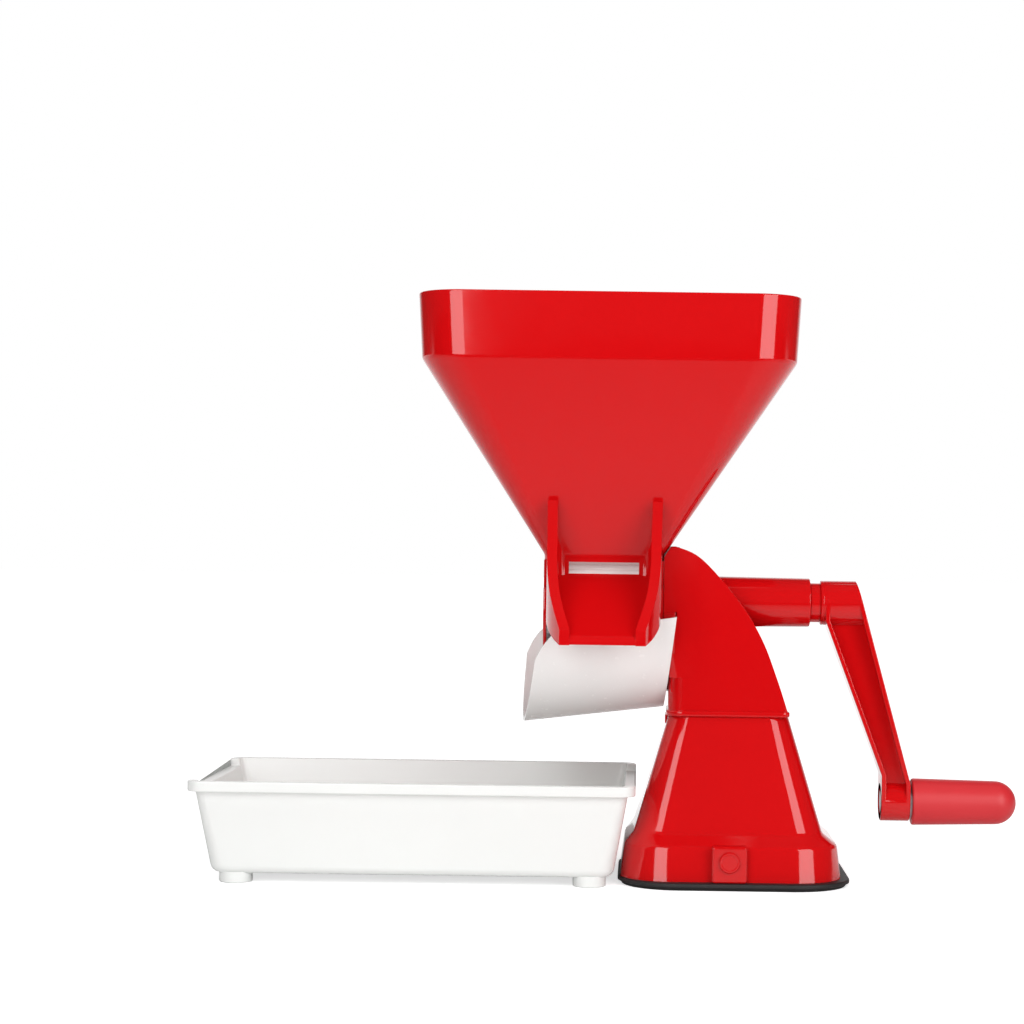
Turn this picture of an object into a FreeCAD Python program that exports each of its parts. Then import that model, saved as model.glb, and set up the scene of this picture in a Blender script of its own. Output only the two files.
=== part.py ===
"""Crank-driven tomato strainer on a suction base, with its tray and pestle.

Millimetres.  X runs along the crank axle towards the crank, Y to the back, Z up.
The origin is the middle of the suction pad's underside, on the table.
"""
import FreeCAD
import Part
import math
import os

from FreeCAD import Vector

# ---------------------------------------------------------------- driving dimensions
# Clearances
RUN = 0.1              # radial running fit of a turning shaft
FIT = 0.15             # gap between parts that are slipped together
SOFT = 0.3             # gap around loose or curved pieces
OVER = 1.0             # how far a cutting tool runs past the face it cuts

# Suction pad
PAD_MIDDLE = 3.6                   # the pad reaches further out at the right
PAD_X, PAD_Y = 67.9, 67.5          # half sizes at the top edge
PAD_CORNER = 35.0
PAD_EDGE = 4.5                     # thickness at the rim
PAD_UNDERCUT = 2.5                 # how much the rim draws in towards the table
PAD_ROUND = 0.9
PAD_SKIN = 2.2                     # thickness of the membrane in the middle
PAD_POCKET = 24.0                  # radius of the pocket for the lifting foot

# Pedestal
FLANGE_MIDDLE = 1.7
FLANGE_X, FLANGE_Y = 62.3, 58.6    # half sizes at the flange's top
FLANGE_FLARE = 2.4                 # how much wider the flange is at its bottom
FLANGE_CORNER = 27.0
FLANGE_TOP = 23.9                  # top of the flange's side
FOOT_X, FOOT_Y = 55.1, 50.6        # where the pedestal's slope starts
FOOT_Z = 31.0
FOOT_CORNER = 17.0
WAIST_X, WAIST_Y = 35.5, 27.0      # top of the pedestal
WAIST_CORNER = 9.0
WAIST_Z = 97.2
PEDESTAL_WALL = 3.0
DECK = 4.0                         # top plate of the pedestal
SCREW_INSET = 12.0                 # screws in from the edges of the top plate

# Suction cam, lever and lifting stem
CAM_Z = 16.5
AXLE_R = 4.0
CAM_R = 8.0
CAM_THROW = 1.6
TAB_WIDTH, TAB_FRONT = 20.0, 66.0  # boss on the front of the flange
TAB_TOP = 25.5
TAB_ROUND = 1.5
AXLE_CAP_R, AXLE_CAP_T = 6.0, 2.0
AXLE_CAP_ROUND = 0.8
LEVER_Y = 66.0                     # inner face of the lever
LEVER_T = 7.0
LEVER_REACH = 57.0
LEVER_RISE = 13.0                  # degrees above level at rest
LEVER_HUB_R = 9.0
LEVER_NECK = 11.0                  # height of the arm
LEVER_HEAD = 15.0                  # height of the flared head
LEVER_HEAD_LENGTH = 16.0
LEVER_FLARE = 5.0                  # length over which the arm widens to the head
LEVER_ROUND = 2.0
LEVER_PIN_R = 1.25
LEVER_PIN_INSET = 1.0              # the pin's ends inside the hub
STEM_FOOT_R, STEM_FOOT_T = 20.0, 2.0
STEM_WIDTH = 27.0                  # yoke, along X
STEM_DEPTH = 9.0                   # yoke, along Y
STEM_BRIDGE = 4.0                  # yoke above the cam
STEM_LIFT = 3.0

# Crank axle and drum
AXIS_Z = 164.6
SHAFT_R = 6.0
DRUM_R = 29.5
DRUM_FLUTES = 40
FLUTE_DEPTH = 0.9
FLUTE_R = 1.5
DRUM_GAP = 1.0                     # end play between the drum and the throat walls

# Throat, screen and chute, all part of the hopper or set from it
THROAT_LEFT, THROAT_RIGHT = -110.0, -39.8
THROAT_Y = 14.0                    # middle of the throat
THROAT_HALF = 45.0                 # half depth of the throat
THROAT_TOP = 191.4                 # fold between the funnel and the throat
THROAT_WALL = 3.0
END_WALL = 4.0                     # left and right walls of the throat
SCREEN_Z = 160.0                   # middle of the half-round screen
SCREEN_R = 50.5                    # outer radius of the screen
SCREEN_T = 0.8
SCREEN_EDGE = 8.5                  # its upper edges lie this far below the slot
SCREEN_LEDGE = 3.0                 # thickness of the ledge over its back edge
SCREEN_COLLAR = 1.0                # the left end wall stands out around the screen
HOLE_R = 1.1                       # holes in the screen
HOLE_STEP = 5.2                    # along the axle
HOLE_PITCH = 8.84                  # around the screen
HOLE_COLUMNS, HOLE_ROWS = 11, 13
SLOT_LEFT, SLOT_RIGHT = -95.4, -54.2
SLOT_BOTTOM, SLOT_HEIGHT = 180.5, 6.8
CHUTE_ROOT_LEFT, CHUTE_ROOT_RIGHT = -108.2, -40.4
CHUTE_REACH = 57.0                 # from the throat's front wall to the lip
CHUTE_DROP = 39.9                  # from the slot's floor to the underside of the lip
CHUTE_FLOOR = 3.9                  # thickness of the floor
CHUTE_WALL = 5.8
CHUTE_ROOT = 1.0                   # how far the chute runs into the throat's wall
# How far each side of the chute draws in: distance out from the throat, and the amount.
CHUTE_DRAW = [(-1.0, 0.0), (14.0, 0.4), (26.5, 1.0), (34.5, 1.3), (43.0, 3.0), (51.0, 6.0),
              (57.0, 9.5)]
# Edges of a chute wall in side view, from the throat outwards: distance out from the
# throat's front wall and height above the slot's floor.
CHUTE_CROWN = [(14.5, 42.5), (19.5, 33.5), (26.5, 20.0), (34.5, 5.0), (43.0, -9.0),
               (51.0, -20.5), (56.2, -29.4), (57.0, -31.4)]
CHUTE_UNDER = [(7.0, -9.5), (16.0, -17.0), (26.0, -24.5), (39.0, -30.3)]
CHUTE_SHOULDER = 22.5              # the wall's root above the slot's floor
CHUTE_HEEL = 4.0                   # and below it

# Funnel
RIM_X, RIM_Y = -73.0, 23.9         # middle of the rim
RIM_HALF_X, RIM_HALF_Y = 111.5, 91.5
RIM_TOP = 342.6
RIM_CORNER = 27.0
BAND_BOTTOM = 304.5                # fold between the upright band and the slopes
BAND_DRAFT = 2.1                   # how much the band draws in on its way down
FUNNEL_WALL = 2.8
THROAT_CORNER = 7.0

# Juice apron
APRON_GAP = 7.0                    # from the screen to the apron's outside
APRON_R = SCREEN_R + APRON_GAP     # outer radius
APRON_WALL = 2.4
APRON_SLOPE = 6.8                  # degrees down to the left
APRON_RIGHT = -38.4                # right end at the bottom of the trough
APRON_DROP = 8.6                   # from the screen's underside to the apron's there
APRON_BOTTOM = SCREEN_Z - SCREEN_R - APRON_DROP
APRON_LEFT = -123.3                # tip of the spout
APRON_RIM = 158.4                  # top edge at the right end
APRON_SKEW = 0.09                  # the left end is cut a little askew
# Left end of the apron in side view: distance in from the tip, and below the rim.
SPOUT_CURVE = [(14.9, 4.0), (11.9, 6.9), (9.4, 10.2), (6.6, 14.7), (4.2, 20.0), (-0.7, 69.0)]

# Upper body
CHEEK_Y = 28.0                     # outer faces of the two cheeks
CHEEK_T = 3.0
CHEEK_TOP = 197.2
CHEEK_RIGHT = 34.6
CHEEK_START = 3.4                  # flat top of the cheeks, from the left
# Crown of the cheeks: share of the run to the right, share of the drop to the floor.
CHEEK_CURVE = [(0.0, 0.0), (0.231, 0.076), (0.563, 0.332), (0.766, 0.559), (0.903, 0.799),
               (1.0, 1.0)]
BODY_LEFT = -36.0
BODY_FLOOR_T = 3.0
BODY_CORNER, BODY_RIGHT_CORNER = 9.0, 3.0
BEAD = 1.2                         # bead around the joint with the pedestal
BEAD_HEIGHT = 2.45
BOSS_RIGHT = -32.5                 # round boss that closes the screen's right end
BOSS_DROP = 2.0                    # the boss's top below the cheeks' top
BOSS_LINK = 2.0                    # the boss runs this far into the body's left wall
FAIRING_RIGHT = -18.0              # the front cheek bends out from here to the boss
FAIRING_LOW = 120.0                # and the bend fades out at this height
WEB_FOOT, WEB_TOP = 12.0, 2.0      # right ends of the web that carries the tube
TUBE_R_LEFT, TUBE_R_RIGHT = 15.3, 14.5
TUBE_RIGHT = 48.3
TUBE_BORE = 9.5
BUSH_LENGTH = 16.0
SEAL_R = 10.0
END_BUSH_R, END_BUSH_SKIN = 8.0, 1.2  # blind seat in the left throat wall
SCREW_R, SCREW_HEAD_R, SCREW_HEAD_T, SCREW_LENGTH = 2.0, 3.8, 2.6, 11.0
SCREW_WALL = 2.5                   # plastic around a screw
SCREW_SPARE = 2.0                  # screw hole past the screw's tip
CLIP_LEFT, CLIP_WIDTH, CLIP_HEIGHT = -37.6, 24.0, 5.2

# Crank
CRANK_SCREW_R, CRANK_SCREW_LENGTH = 2.5, 16.0
CRANK_SCREW_HEAD_R, CRANK_SCREW_HEAD_T = 5.2, 3.4
CRANK_WASHER_T = 1.2
COLLAR_RIGHT = 54.4
COLLAR_R = 11.8
HUB_R, HUB_RIGHT = 13.25, 78.9
HUB_POCKET_R, HUB_POCKET = 7.0, 9.5
HUB_BRIDGE = 2.0                   # between the shaft's end and the pocket
CRANK_RADIUS = 118.4
BOSS_R = 11.6
BOSS_LEFT, BOSS_END = 92.0, 109.4
ARM_FLANGE, ARM_WEB = 2.8, 6.0     # both measured along the axle
ARM_INSET = 2.8                    # inner flange from the hub's left end
ARM_HUB_BEND = 10.4                # it runs upright down to here below the axle
ARM_BOSS_BEND = 16.2               # and again from here above the grip's axis
ARM_PROUD = 0.7                    # the outer flange stands out past the hub's pocket
ARM_OUTER_BEND = 10.8              # it runs upright from here above the grip's axis
WASHER_T = 1.2
GRIP_R_ARM, GRIP_R_END = 13.9, 12.9
GRIP_LENGTH = 62.9
GRIP_PIN_R = 4.0
GRIP_PIN_LENGTH = 42.0             # inside the grip
PIN_HEAD_R, PIN_HEAD_T = 7.0, 4.0
PIN_HEAD_DEPTH = 0.4               # the head sits this far inside the boss
CLIP_GROOVE = 4.0                  # the snap ring's groove from the pin's end
SNAP_T, SNAP_BITE, SNAP_PROUD = 1.5, 0.8, 2.4
SNAP_GAP = 3.0                     # opening of the snap ring

# Tray
TRAY_LEFT, TRAY_RIGHT = -311.2, -54.4
TRAY_FRONT, TRAY_BACK = -73.0, 90.0
TRAY_HEIGHT = 59.5
TRAY_CORNER = 6.0
TRAY_WALL = 2.4
TRAY_TAPER = 9.3                   # how much each wall draws in towards the bottom
TRAY_LIP, TRAY_LIP_HEIGHT = 3.3, 6.0
TRAY_FLOOR = 5.5                   # height of the underside above the table
TRAY_ROUND = 5.0                   # between the walls and the floor
TRAY_DIP = 4.5                     # the end walls are lower than the long ones
TRAY_DIP_INSET = 13.0              # the lower stretch from the long sides
TRAY_FOOT_CORNER = 9.0
FOOT_R = 9.6
FOOT_INSET_X, FOOT_INSET_Y = 13.6, 10.0

# Pestle, lying on the table behind the tray
PESTLE_LENGTH = 212.0
PESTLE_HEAD_R, PESTLE_HEAD = 26.0, 36.0
PESTLE_NECK_R = 11.0
PESTLE_CONE = 24.0                 # shoulder between the head and the neck
PESTLE_EDGE = 5.0
PESTLE_END_R = 18.0
PESTLE_LEFT = -290.0
PESTLE_GAP = 8.0                   # from the tray's back edge


# ---------------------------------------------------------------- helpers
def save(shape, node):
    """Write one node, with coplanar faces joined."""
    shape = shape.removeSplitter()
    assert shape.isValid(), node
    shape.exportStep("parts/" + node + ".step")


def box(x0, x1, y0, y1, z0, z1):
    return Part.makeBox(x1 - x0, y1 - y0, z1 - z0, Vector(x0, y0, z0))


def rod_x(r, x0, x1, y=0.0, z=AXIS_Z):
    return Part.makeCylinder(r, x1 - x0, Vector(x0, y, z), Vector(1, 0, 0))


def rod_y(r, y0, y1, x=0.0, z=CAM_Z):
    return Part.makeCylinder(r, y1 - y0, Vector(x, y0, z), Vector(0, 1, 0))


def rod_z(r, z0, z1, x=0.0, y=0.0):
    return Part.makeCylinder(r, z1 - z0, Vector(x, y, z0))


def rounded(cx, cy, hx, hy, r, z):
    """Wire of a rounded rectangle at height z."""
    edges = []
    corners = [(1, 1, 0), (-1, 1, 90), (-1, -1, 180), (1, -1, 270)]
    points = []
    for sx, sy, start in corners:
        mid = Vector(cx + sx * (hx - r), cy + sy * (hy - r), z)
        arc = [mid + Vector(r * math.cos(math.radians(start + turn)),
                            r * math.sin(math.radians(start + turn)), 0)
               for turn in (0, 45, 90)]
        points.append(arc)
    for i, arc in enumerate(points):
        edges.append(Part.Arc(*arc).toShape())
        edges.append(Part.makeLine(arc[2], points[(i + 1) % 4][0]))
    return Part.Wire(edges)


def slab(cx, cy, hx, hy, r, z0, z1):
    """Upright block with rounded corners."""
    return Part.Face(rounded(cx, cy, hx, hy, r, z0)).extrude(Vector(0, 0, z1 - z0))


def loft(*wires):
    return Part.makeLoft(list(wires), True, True)


def prism(points, depth):
    """Polygon pushed along the vector depth."""
    wire = Part.makePolygon([Vector(*p) for p in points + points[:1]])
    return Part.Face(wire).extrude(Vector(*depth))


def fuse(first, *others):
    return first.fuse(list(others)) if others else first


def edges_at(shape, axis, place):
    """Edges that lie in the plane where the coordinate along axis is place."""
    low, high = axis + "Min", axis + "Max"
    near = 0.01
    return [edge for edge in shape.Edges
            if abs(getattr(edge.BoundBox, low) - place) < near
            and abs(getattr(edge.BoundBox, high) - place) < near]


# ---------------------------------------------------------------- suction base
def suction_pad():
    """Rubber pad, wider at its top edge, with a pocket for the lifting foot."""
    low_x, low_y = PAD_X - PAD_UNDERCUT, PAD_Y - PAD_UNDERCUT
    pad = loft(rounded(PAD_MIDDLE, 0, low_x, low_y, PAD_CORNER - PAD_UNDERCUT, 0),
               rounded(PAD_MIDDLE, 0, PAD_X, PAD_Y, PAD_CORNER, PAD_EDGE))
    pad = pad.makeFillet(PAD_ROUND, edges_at(pad, "Z", PAD_EDGE))
    return pad.cut(rod_z(PAD_POCKET, PAD_SKIN, PAD_EDGE + OVER))


def pedestal_outside(shrink, z_bottom):
    """Outer form of the pedestal, or its hollow when shrink is the wall."""
    half_x, half_y, corner = FLANGE_X - shrink, FLANGE_Y - shrink, FLANGE_CORNER - shrink
    flange = loft(rounded(FLANGE_MIDDLE, 0, half_x + FLANGE_FLARE, half_y + FLANGE_FLARE,
                          corner + FLANGE_FLARE, z_bottom),
                  rounded(FLANGE_MIDDLE, 0, half_x, half_y, corner, FLANGE_TOP))
    shoulder = loft(rounded(FLANGE_MIDDLE, 0, half_x, half_y, corner, FLANGE_TOP),
                    rounded(0, 0, FOOT_X - shrink, FOOT_Y - shrink,
                            FOOT_CORNER - shrink, FOOT_Z))
    top = WAIST_Z - (DECK if shrink else 0)
    slope = loft(rounded(0, 0, FOOT_X - shrink, FOOT_Y - shrink,
                         FOOT_CORNER - shrink, FOOT_Z),
                 rounded(0, 0, WAIST_X - shrink, WAIST_Y - shrink,
                         WAIST_CORNER - shrink, top))
    return fuse(flange, shoulder, slope)


def screw_places():
    """The four screws that hold the upper body on the pedestal."""
    return [(sx * (WAIST_X - SCREW_INSET), sy * (WAIST_Y - SCREW_INSET))
            for sx in (-1, 1) for sy in (-1, 1)]


def pedestal():
    body = pedestal_outside(0, PAD_EDGE)
    tab = box(-TAB_WIDTH / 2, TAB_WIDTH / 2, -TAB_FRONT, -FLANGE_Y + PEDESTAL_WALL,
              PAD_EDGE, TAB_TOP)
    tab = tab.makeFillet(TAB_ROUND, edges_at(tab, "Y", -TAB_FRONT))
    back_boss = rod_y(LEVER_HUB_R, FLANGE_Y - PEDESTAL_WALL, LEVER_Y - SOFT)
    body = fuse(body, tab, back_boss)
    body = body.cut(pedestal_outside(PEDESTAL_WALL, PAD_EDGE - OVER))
    body = body.cut(rod_y(AXLE_R + RUN, -TAB_FRONT - OVER, LEVER_Y + OVER))
    for x, y in screw_places():
        body = body.cut(rod_z(SCREW_R + FIT, WAIST_Z - DECK - OVER, WAIST_Z + OVER, x, y))
    return body


def pedestal_side(z):
    """Half width of the pedestal's slope at height z."""
    return FOOT_X + (WAIST_X - FOOT_X) * (z - FOOT_Z) / (WAIST_Z - FOOT_Z)


def cam_axle():
    axle = rod_y(AXLE_R, -TAB_FRONT, LEVER_Y + LEVER_T)
    half = STEM_DEPTH / 2 + OVER
    cam = rod_y(CAM_R, -half, half, 0, CAM_Z - CAM_THROW)
    pin_hole = rod_x(LEVER_PIN_R, -AXLE_R - OVER, AXLE_R + OVER, LEVER_Y + LEVER_T / 2, CAM_Z)
    return fuse(axle, cam).cut(pin_hole)


def axle_cap():
    front = -TAB_FRONT - FIT - AXLE_CAP_T
    cap = rod_y(AXLE_CAP_R, front, front + AXLE_CAP_T)
    return cap.makeFillet(AXLE_CAP_ROUND, edges_at(cap, "Y", front))


def suction_lever():
    """Lever on the back end of the cam axle, with a flared head to press on."""
    neck, head = LEVER_NECK / 2, LEVER_HEAD / 2
    start = LEVER_REACH - LEVER_HEAD_LENGTH
    wide = start + LEVER_FLARE
    y0 = LEVER_Y
    arm = prism([(0, y0, CAM_Z - neck), (start, y0, CAM_Z - neck),
                 (wide, y0, CAM_Z - head), (LEVER_REACH, y0, CAM_Z - head),
                 (LEVER_REACH, y0, CAM_Z + head), (wide, y0, CAM_Z + head),
                 (start, y0, CAM_Z + neck), (0, y0, CAM_Z + neck)], (0, LEVER_T, 0))
    tip = [e for e in arm.Edges if e.BoundBox.XMin > start - OVER
           and e.BoundBox.XMax - e.BoundBox.XMin < FIT
           and e.BoundBox.ZMax - e.BoundBox.ZMin < FIT]
    arm = arm.makeFillet(LEVER_ROUND, tip)
    lever = fuse(arm, rod_y(LEVER_HUB_R, y0, y0 + LEVER_T))
    lever.rotate(Vector(0, 0, CAM_Z), Vector(0, 1, 0), -LEVER_RISE)
    lever = lever.cut(rod_y(AXLE_R, y0 - OVER, y0 + LEVER_T + OVER))
    return lever.cut(lever_pin())


def lever_pin():
    half = LEVER_HUB_R - LEVER_PIN_INSET
    return rod_x(LEVER_PIN_R, -half, half, LEVER_Y + LEVER_T / 2, CAM_Z)


def suction_stem():
    """Foot in the pad's pocket and a yoke that the cam lifts."""
    foot_bottom = PAD_SKIN + FIT
    window_top = CAM_Z - CAM_THROW + CAM_R + RUN
    window_bottom = CAM_Z - CAM_THROW - CAM_R - STEM_LIFT - RUN
    foot = rod_z(STEM_FOOT_R, foot_bottom, foot_bottom + STEM_FOOT_T)
    yoke = box(-STEM_WIDTH / 2, STEM_WIDTH / 2, -STEM_DEPTH / 2, STEM_DEPTH / 2,
               foot_bottom, window_top + STEM_BRIDGE)
    half = CAM_R + CAM_THROW + SOFT
    window = box(-half, half, -STEM_DEPTH, STEM_DEPTH,
                 max(window_bottom, foot_bottom + STEM_FOOT_T), window_top)
    return fuse(foot, yoke).cut(window)


# ---------------------------------------------------------------- hopper
THROAT_FRONT = THROAT_Y - THROAT_HALF
THROAT_BACK = THROAT_Y + THROAT_HALF
SCREEN_TOP = SLOT_BOTTOM - SCREEN_EDGE


def end_profile(radius, x, depth, top=THROAT_TOP):
    """Wall across the throat: round at the bottom, square at the top."""
    disc = rod_x(radius, x, x + depth, THROAT_Y, SCREEN_Z)
    disc = disc.common(box(x - OVER, x + depth + OVER, THROAT_Y - 2 * radius,
                           THROAT_Y + 2 * radius, 0, SCREEN_TOP))
    upright = box(x, x + depth, THROAT_FRONT, THROAT_BACK, SCREEN_TOP - OVER, top)
    return fuse(disc, upright)


def funnel(shrink):
    """Solid funnel form; with shrink it is the hollow inside."""
    half_x, half_y = RIM_HALF_X - shrink, RIM_HALF_Y - shrink
    low_x, low_y = half_x - BAND_DRAFT, half_y - BAND_DRAFT
    end_wall, side_wall = (END_WALL, THROAT_WALL) if shrink else (0, 0)
    left, right = THROAT_LEFT + end_wall, THROAT_RIGHT - end_wall
    throat_x, middle = (right - left) / 2, (right + left) / 2
    throat_y, corner = THROAT_HALF - side_wall, THROAT_CORNER - side_wall
    top = RIM_TOP + (OVER if shrink else 0)
    band = loft(rounded(RIM_X, RIM_Y, half_x, half_y, RIM_CORNER - shrink, top),
                rounded(RIM_X, RIM_Y, low_x, low_y, RIM_CORNER - shrink, BAND_BOTTOM))
    slopes = loft(rounded(RIM_X, RIM_Y, low_x, low_y, RIM_CORNER - shrink, BAND_BOTTOM),
                  rounded(middle, THROAT_Y, throat_x, throat_y, corner, THROAT_TOP))
    return fuse(band, slopes)


def chute_plan(inset):
    """Upright block over the chute's plan, drawn in by inset on both sides."""
    z0, z1 = SLOT_BOTTOM - CHUTE_DROP - OVER, SLOT_BOTTOM + CHUTE_CROWN[0][1] + OVER
    left = [(CHUTE_ROOT_LEFT + draw + inset, THROAT_FRONT - out, z0) for out, draw in CHUTE_DRAW]
    right = [(CHUTE_ROOT_RIGHT - draw - inset, THROAT_FRONT - out, z0)
             for out, draw in CHUTE_DRAW]
    return prism(left + right[::-1], (0, 0, z1 - z0))


def chute():
    """Two side walls and the sloping floor from the slot to the lip."""
    outline = [(-CHUTE_ROOT, CHUTE_SHOULDER)] + CHUTE_CROWN + [(CHUTE_REACH, -CHUTE_DROP)]
    outline += CHUTE_UNDER[::-1] + [(-CHUTE_ROOT, -CHUTE_HEEL)]
    width = CHUTE_ROOT_RIGHT - CHUTE_ROOT_LEFT
    side_view = prism([(CHUTE_ROOT_LEFT, THROAT_FRONT - out, SLOT_BOTTOM + up)
                       for out, up in outline], (width, 0, 0))
    walls = side_view.common(chute_plan(0)).cut(chute_plan(CHUTE_WALL))
    y_root, y_lip = THROAT_FRONT + CHUTE_ROOT, THROAT_FRONT - CHUTE_REACH
    z_lip = SLOT_BOTTOM - CHUTE_DROP + CHUTE_FLOOR
    x = CHUTE_ROOT_LEFT
    floor = prism([(x, y_root, SLOT_BOTTOM), (x, y_lip, z_lip), (x, y_lip, z_lip - CHUTE_FLOOR),
                   (x, y_root, SLOT_BOTTOM - CHUTE_FLOOR)], (width, 0, 0))
    return [walls, floor.common(chute_plan(CHUTE_WALL / 2))]


def hopper():
    """Funnel, throat and chute in one moulding."""
    inside = SCREEN_R - SCREEN_T - FIT
    ends = [end_profile(inside, THROAT_LEFT, END_WALL),
            end_profile(inside, THROAT_RIGHT - END_WALL, END_WALL)]
    collar = end_profile(SCREEN_R + SCREEN_COLLAR, THROAT_LEFT, END_WALL / 2)
    walls = [box(THROAT_LEFT, THROAT_RIGHT, THROAT_FRONT, THROAT_FRONT + THROAT_WALL,
                 SLOT_BOTTOM - CHUTE_FLOOR, THROAT_TOP),
             box(THROAT_LEFT, THROAT_RIGHT, THROAT_BACK - THROAT_WALL, THROAT_BACK,
                 SCREEN_TOP + FIT, THROAT_TOP)]
    ledge_depth = math.sqrt(SCREEN_R ** 2 - (SCREEN_TOP - SCREEN_Z) ** 2) + SCREEN_COLLAR
    ledge = box(THROAT_LEFT, THROAT_RIGHT, THROAT_BACK - THROAT_WALL, THROAT_Y + ledge_depth,
                SCREEN_TOP + FIT, SCREEN_TOP + FIT + SCREEN_LEDGE)
    shell = fuse(funnel(0), collar, ledge, *walls, *ends, *chute())
    shell = shell.cut(funnel(FUNNEL_WALL))
    slot = box(SLOT_LEFT, SLOT_RIGHT, THROAT_FRONT - FIT, THROAT_FRONT + THROAT_WALL + OVER,
               SLOT_BOTTOM, SLOT_BOTTOM + SLOT_HEIGHT)
    seal_hole = rod_x(SEAL_R, THROAT_RIGHT - END_WALL - OVER, THROAT_RIGHT + OVER)
    bush_hole = rod_x(END_BUSH_R, THROAT_LEFT + END_BUSH_SKIN, THROAT_LEFT + END_WALL + OVER)
    return shell.cut(slot).cut(seal_hole).cut(bush_hole)


def strainer_screen():
    """Half-round steel sheet with rows of holes and plain margins."""
    left, right = THROAT_LEFT + END_WALL / 2 + FIT, THROAT_RIGHT - FIT
    sheet = rod_x(SCREEN_R, left, right, THROAT_Y, SCREEN_Z)
    inside = rod_x(SCREEN_R - SCREEN_T, left - OVER, right + OVER, THROAT_Y, SCREEN_Z)
    above = box(left - OVER, right + OVER, THROAT_Y - 2 * SCREEN_R,
                THROAT_Y + 2 * SCREEN_R, SCREEN_TOP, SCREEN_TOP + SCREEN_R)
    sheet = sheet.cut(inside).cut(above)
    holes = []
    middle = Vector((left + right) / 2, THROAT_Y, SCREEN_Z)
    start, depth = SCREEN_R - SCREEN_T - OVER, SCREEN_T + 2 * OVER
    for row in range(HOLE_ROWS):
        angle = (row - (HOLE_ROWS - 1) / 2) * HOLE_PITCH / SCREEN_R
        along = Vector(0, math.sin(angle), -math.cos(angle))
        for column in range(HOLE_COLUMNS):
            x = (column - (HOLE_COLUMNS - 1) / 2) * HOLE_STEP
            holes.append(Part.makeCylinder(HOLE_R, depth,
                                           middle + Vector(x, 0, 0) + along * start, along))
    return sheet.cut(Part.makeCompound(holes))


# ---------------------------------------------------------------- juice apron
APRON_LEAN = math.tan(math.radians(APRON_SLOPE))


def leaning_block(clear):
    """Everything left of the apron's right end, which leans square to its slope."""
    z0, z1 = APRON_BOTTOM - APRON_R, APRON_RIM + max(clear, 0)
    x0, x1 = [APRON_RIGHT + clear + (z - APRON_BOTTOM) * APRON_LEAN for z in (z0, z1)]
    far = APRON_LEFT - APRON_R
    y0, y1 = THROAT_Y - 2 * APRON_R, THROAT_Y + 2 * APRON_R
    return prism([(far, y0, z0), (x0, y0, z0), (x1, y0, z1), (far, y0, z1)],
                 (0, y1 - y0, 0))


def sloped_rod(r, x0, x1):
    """Cylinder along the trough's sloping axis."""
    start, end = [Vector(x, THROAT_Y, APRON_BOTTOM + APRON_R + (x - APRON_RIGHT) * APRON_LEAN)
                  for x in (x0, x1)]
    return Part.makeCylinder(r, (end - start).Length, start, end - start)


def juice_apron():
    """Sloping half-round trough under the screen, closed at the right, open at the left."""
    far_left, far_right = APRON_LEFT - APRON_R, APRON_RIGHT + APRON_R
    trough = sloped_rod(APRON_R, far_left, far_right).common(leaning_block(0))
    hollow = sloped_rod(APRON_R - APRON_WALL, far_left - OVER, far_right + OVER)
    hollow = hollow.common(leaning_block(-APRON_WALL))
    # Side outline: the rim follows the slope, and the left end rounds off and slants.
    rim_end = APRON_RIGHT + (APRON_RIM - APRON_BOTTOM) * APRON_LEAN
    shoulder = APRON_LEFT + SPOUT_CURVE[0][0]
    rim_left = APRON_RIM + (shoulder - rim_end) * APRON_LEAN
    rim_right = APRON_RIM + (far_right - rim_end) * APRON_LEAN
    spout = [(APRON_LEFT + along, rim_left - below) for along, below in SPOUT_CURVE]
    outline = [(far_right, rim_right)] + spout + [(far_right, spout[-1][1])]
    half = APRON_R + OVER
    skew = APRON_SKEW * half
    keep = prism([(x + skew, THROAT_Y - half, z) for x, z in outline],
                 (-2 * skew, 2 * half, 0))
    apron = trough.common(keep).cut(hollow)
    notch = rod_x(SCREEN_R + SOFT, THROAT_RIGHT - END_WALL, far_right, THROAT_Y, SCREEN_Z)
    return apron.cut(notch)


# ---------------------------------------------------------------- upper body
BODY_LENGTH = CHEEK_RIGHT - BODY_LEFT
BODY_MIDDLE = (CHEEK_RIGHT + BODY_LEFT) / 2
BODY_FLOOR = WAIST_Z + BODY_FLOOR_T


def cheek_profile(y0, y1):
    """Side view of the upper body, pushed from y0 to y1."""
    left, start = THROAT_RIGHT, BODY_LEFT + CHEEK_START
    crown = [Vector(start + run * (CHEEK_RIGHT - start), y0,
                    CHEEK_TOP - drop * (CHEEK_TOP - BODY_FLOOR)) for run, drop in CHEEK_CURVE]
    curve = Part.BSplineCurve()
    curve.interpolate(crown)
    corners = [crown[-1], Vector(CHEEK_RIGHT, y0, WAIST_Z), Vector(left, y0, WAIST_Z),
               Vector(left, y0, CHEEK_TOP), crown[0]]
    sides = [Part.makeLine(a, b) for a, b in zip(corners, corners[1:])]
    face = Part.Face(Part.Wire([curve.toShape()] + sides))
    return face.extrude(Vector(0, y1 - y0, 0))


def funnel_room():
    """Room above the upper body for the funnel's right slope."""
    slope_right = RIM_X + RIM_HALF_X - BAND_DRAFT
    y = THROAT_HALF
    return prism([(THROAT_LEFT, -y, THROAT_TOP), (THROAT_RIGHT + SOFT, -y, THROAT_TOP),
                  (slope_right + SOFT, -y, BAND_BOTTOM), (THROAT_LEFT, -y, BAND_BOTTOM)],
                 (0, THROAT_BACK + 2 * y, 0))


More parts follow.
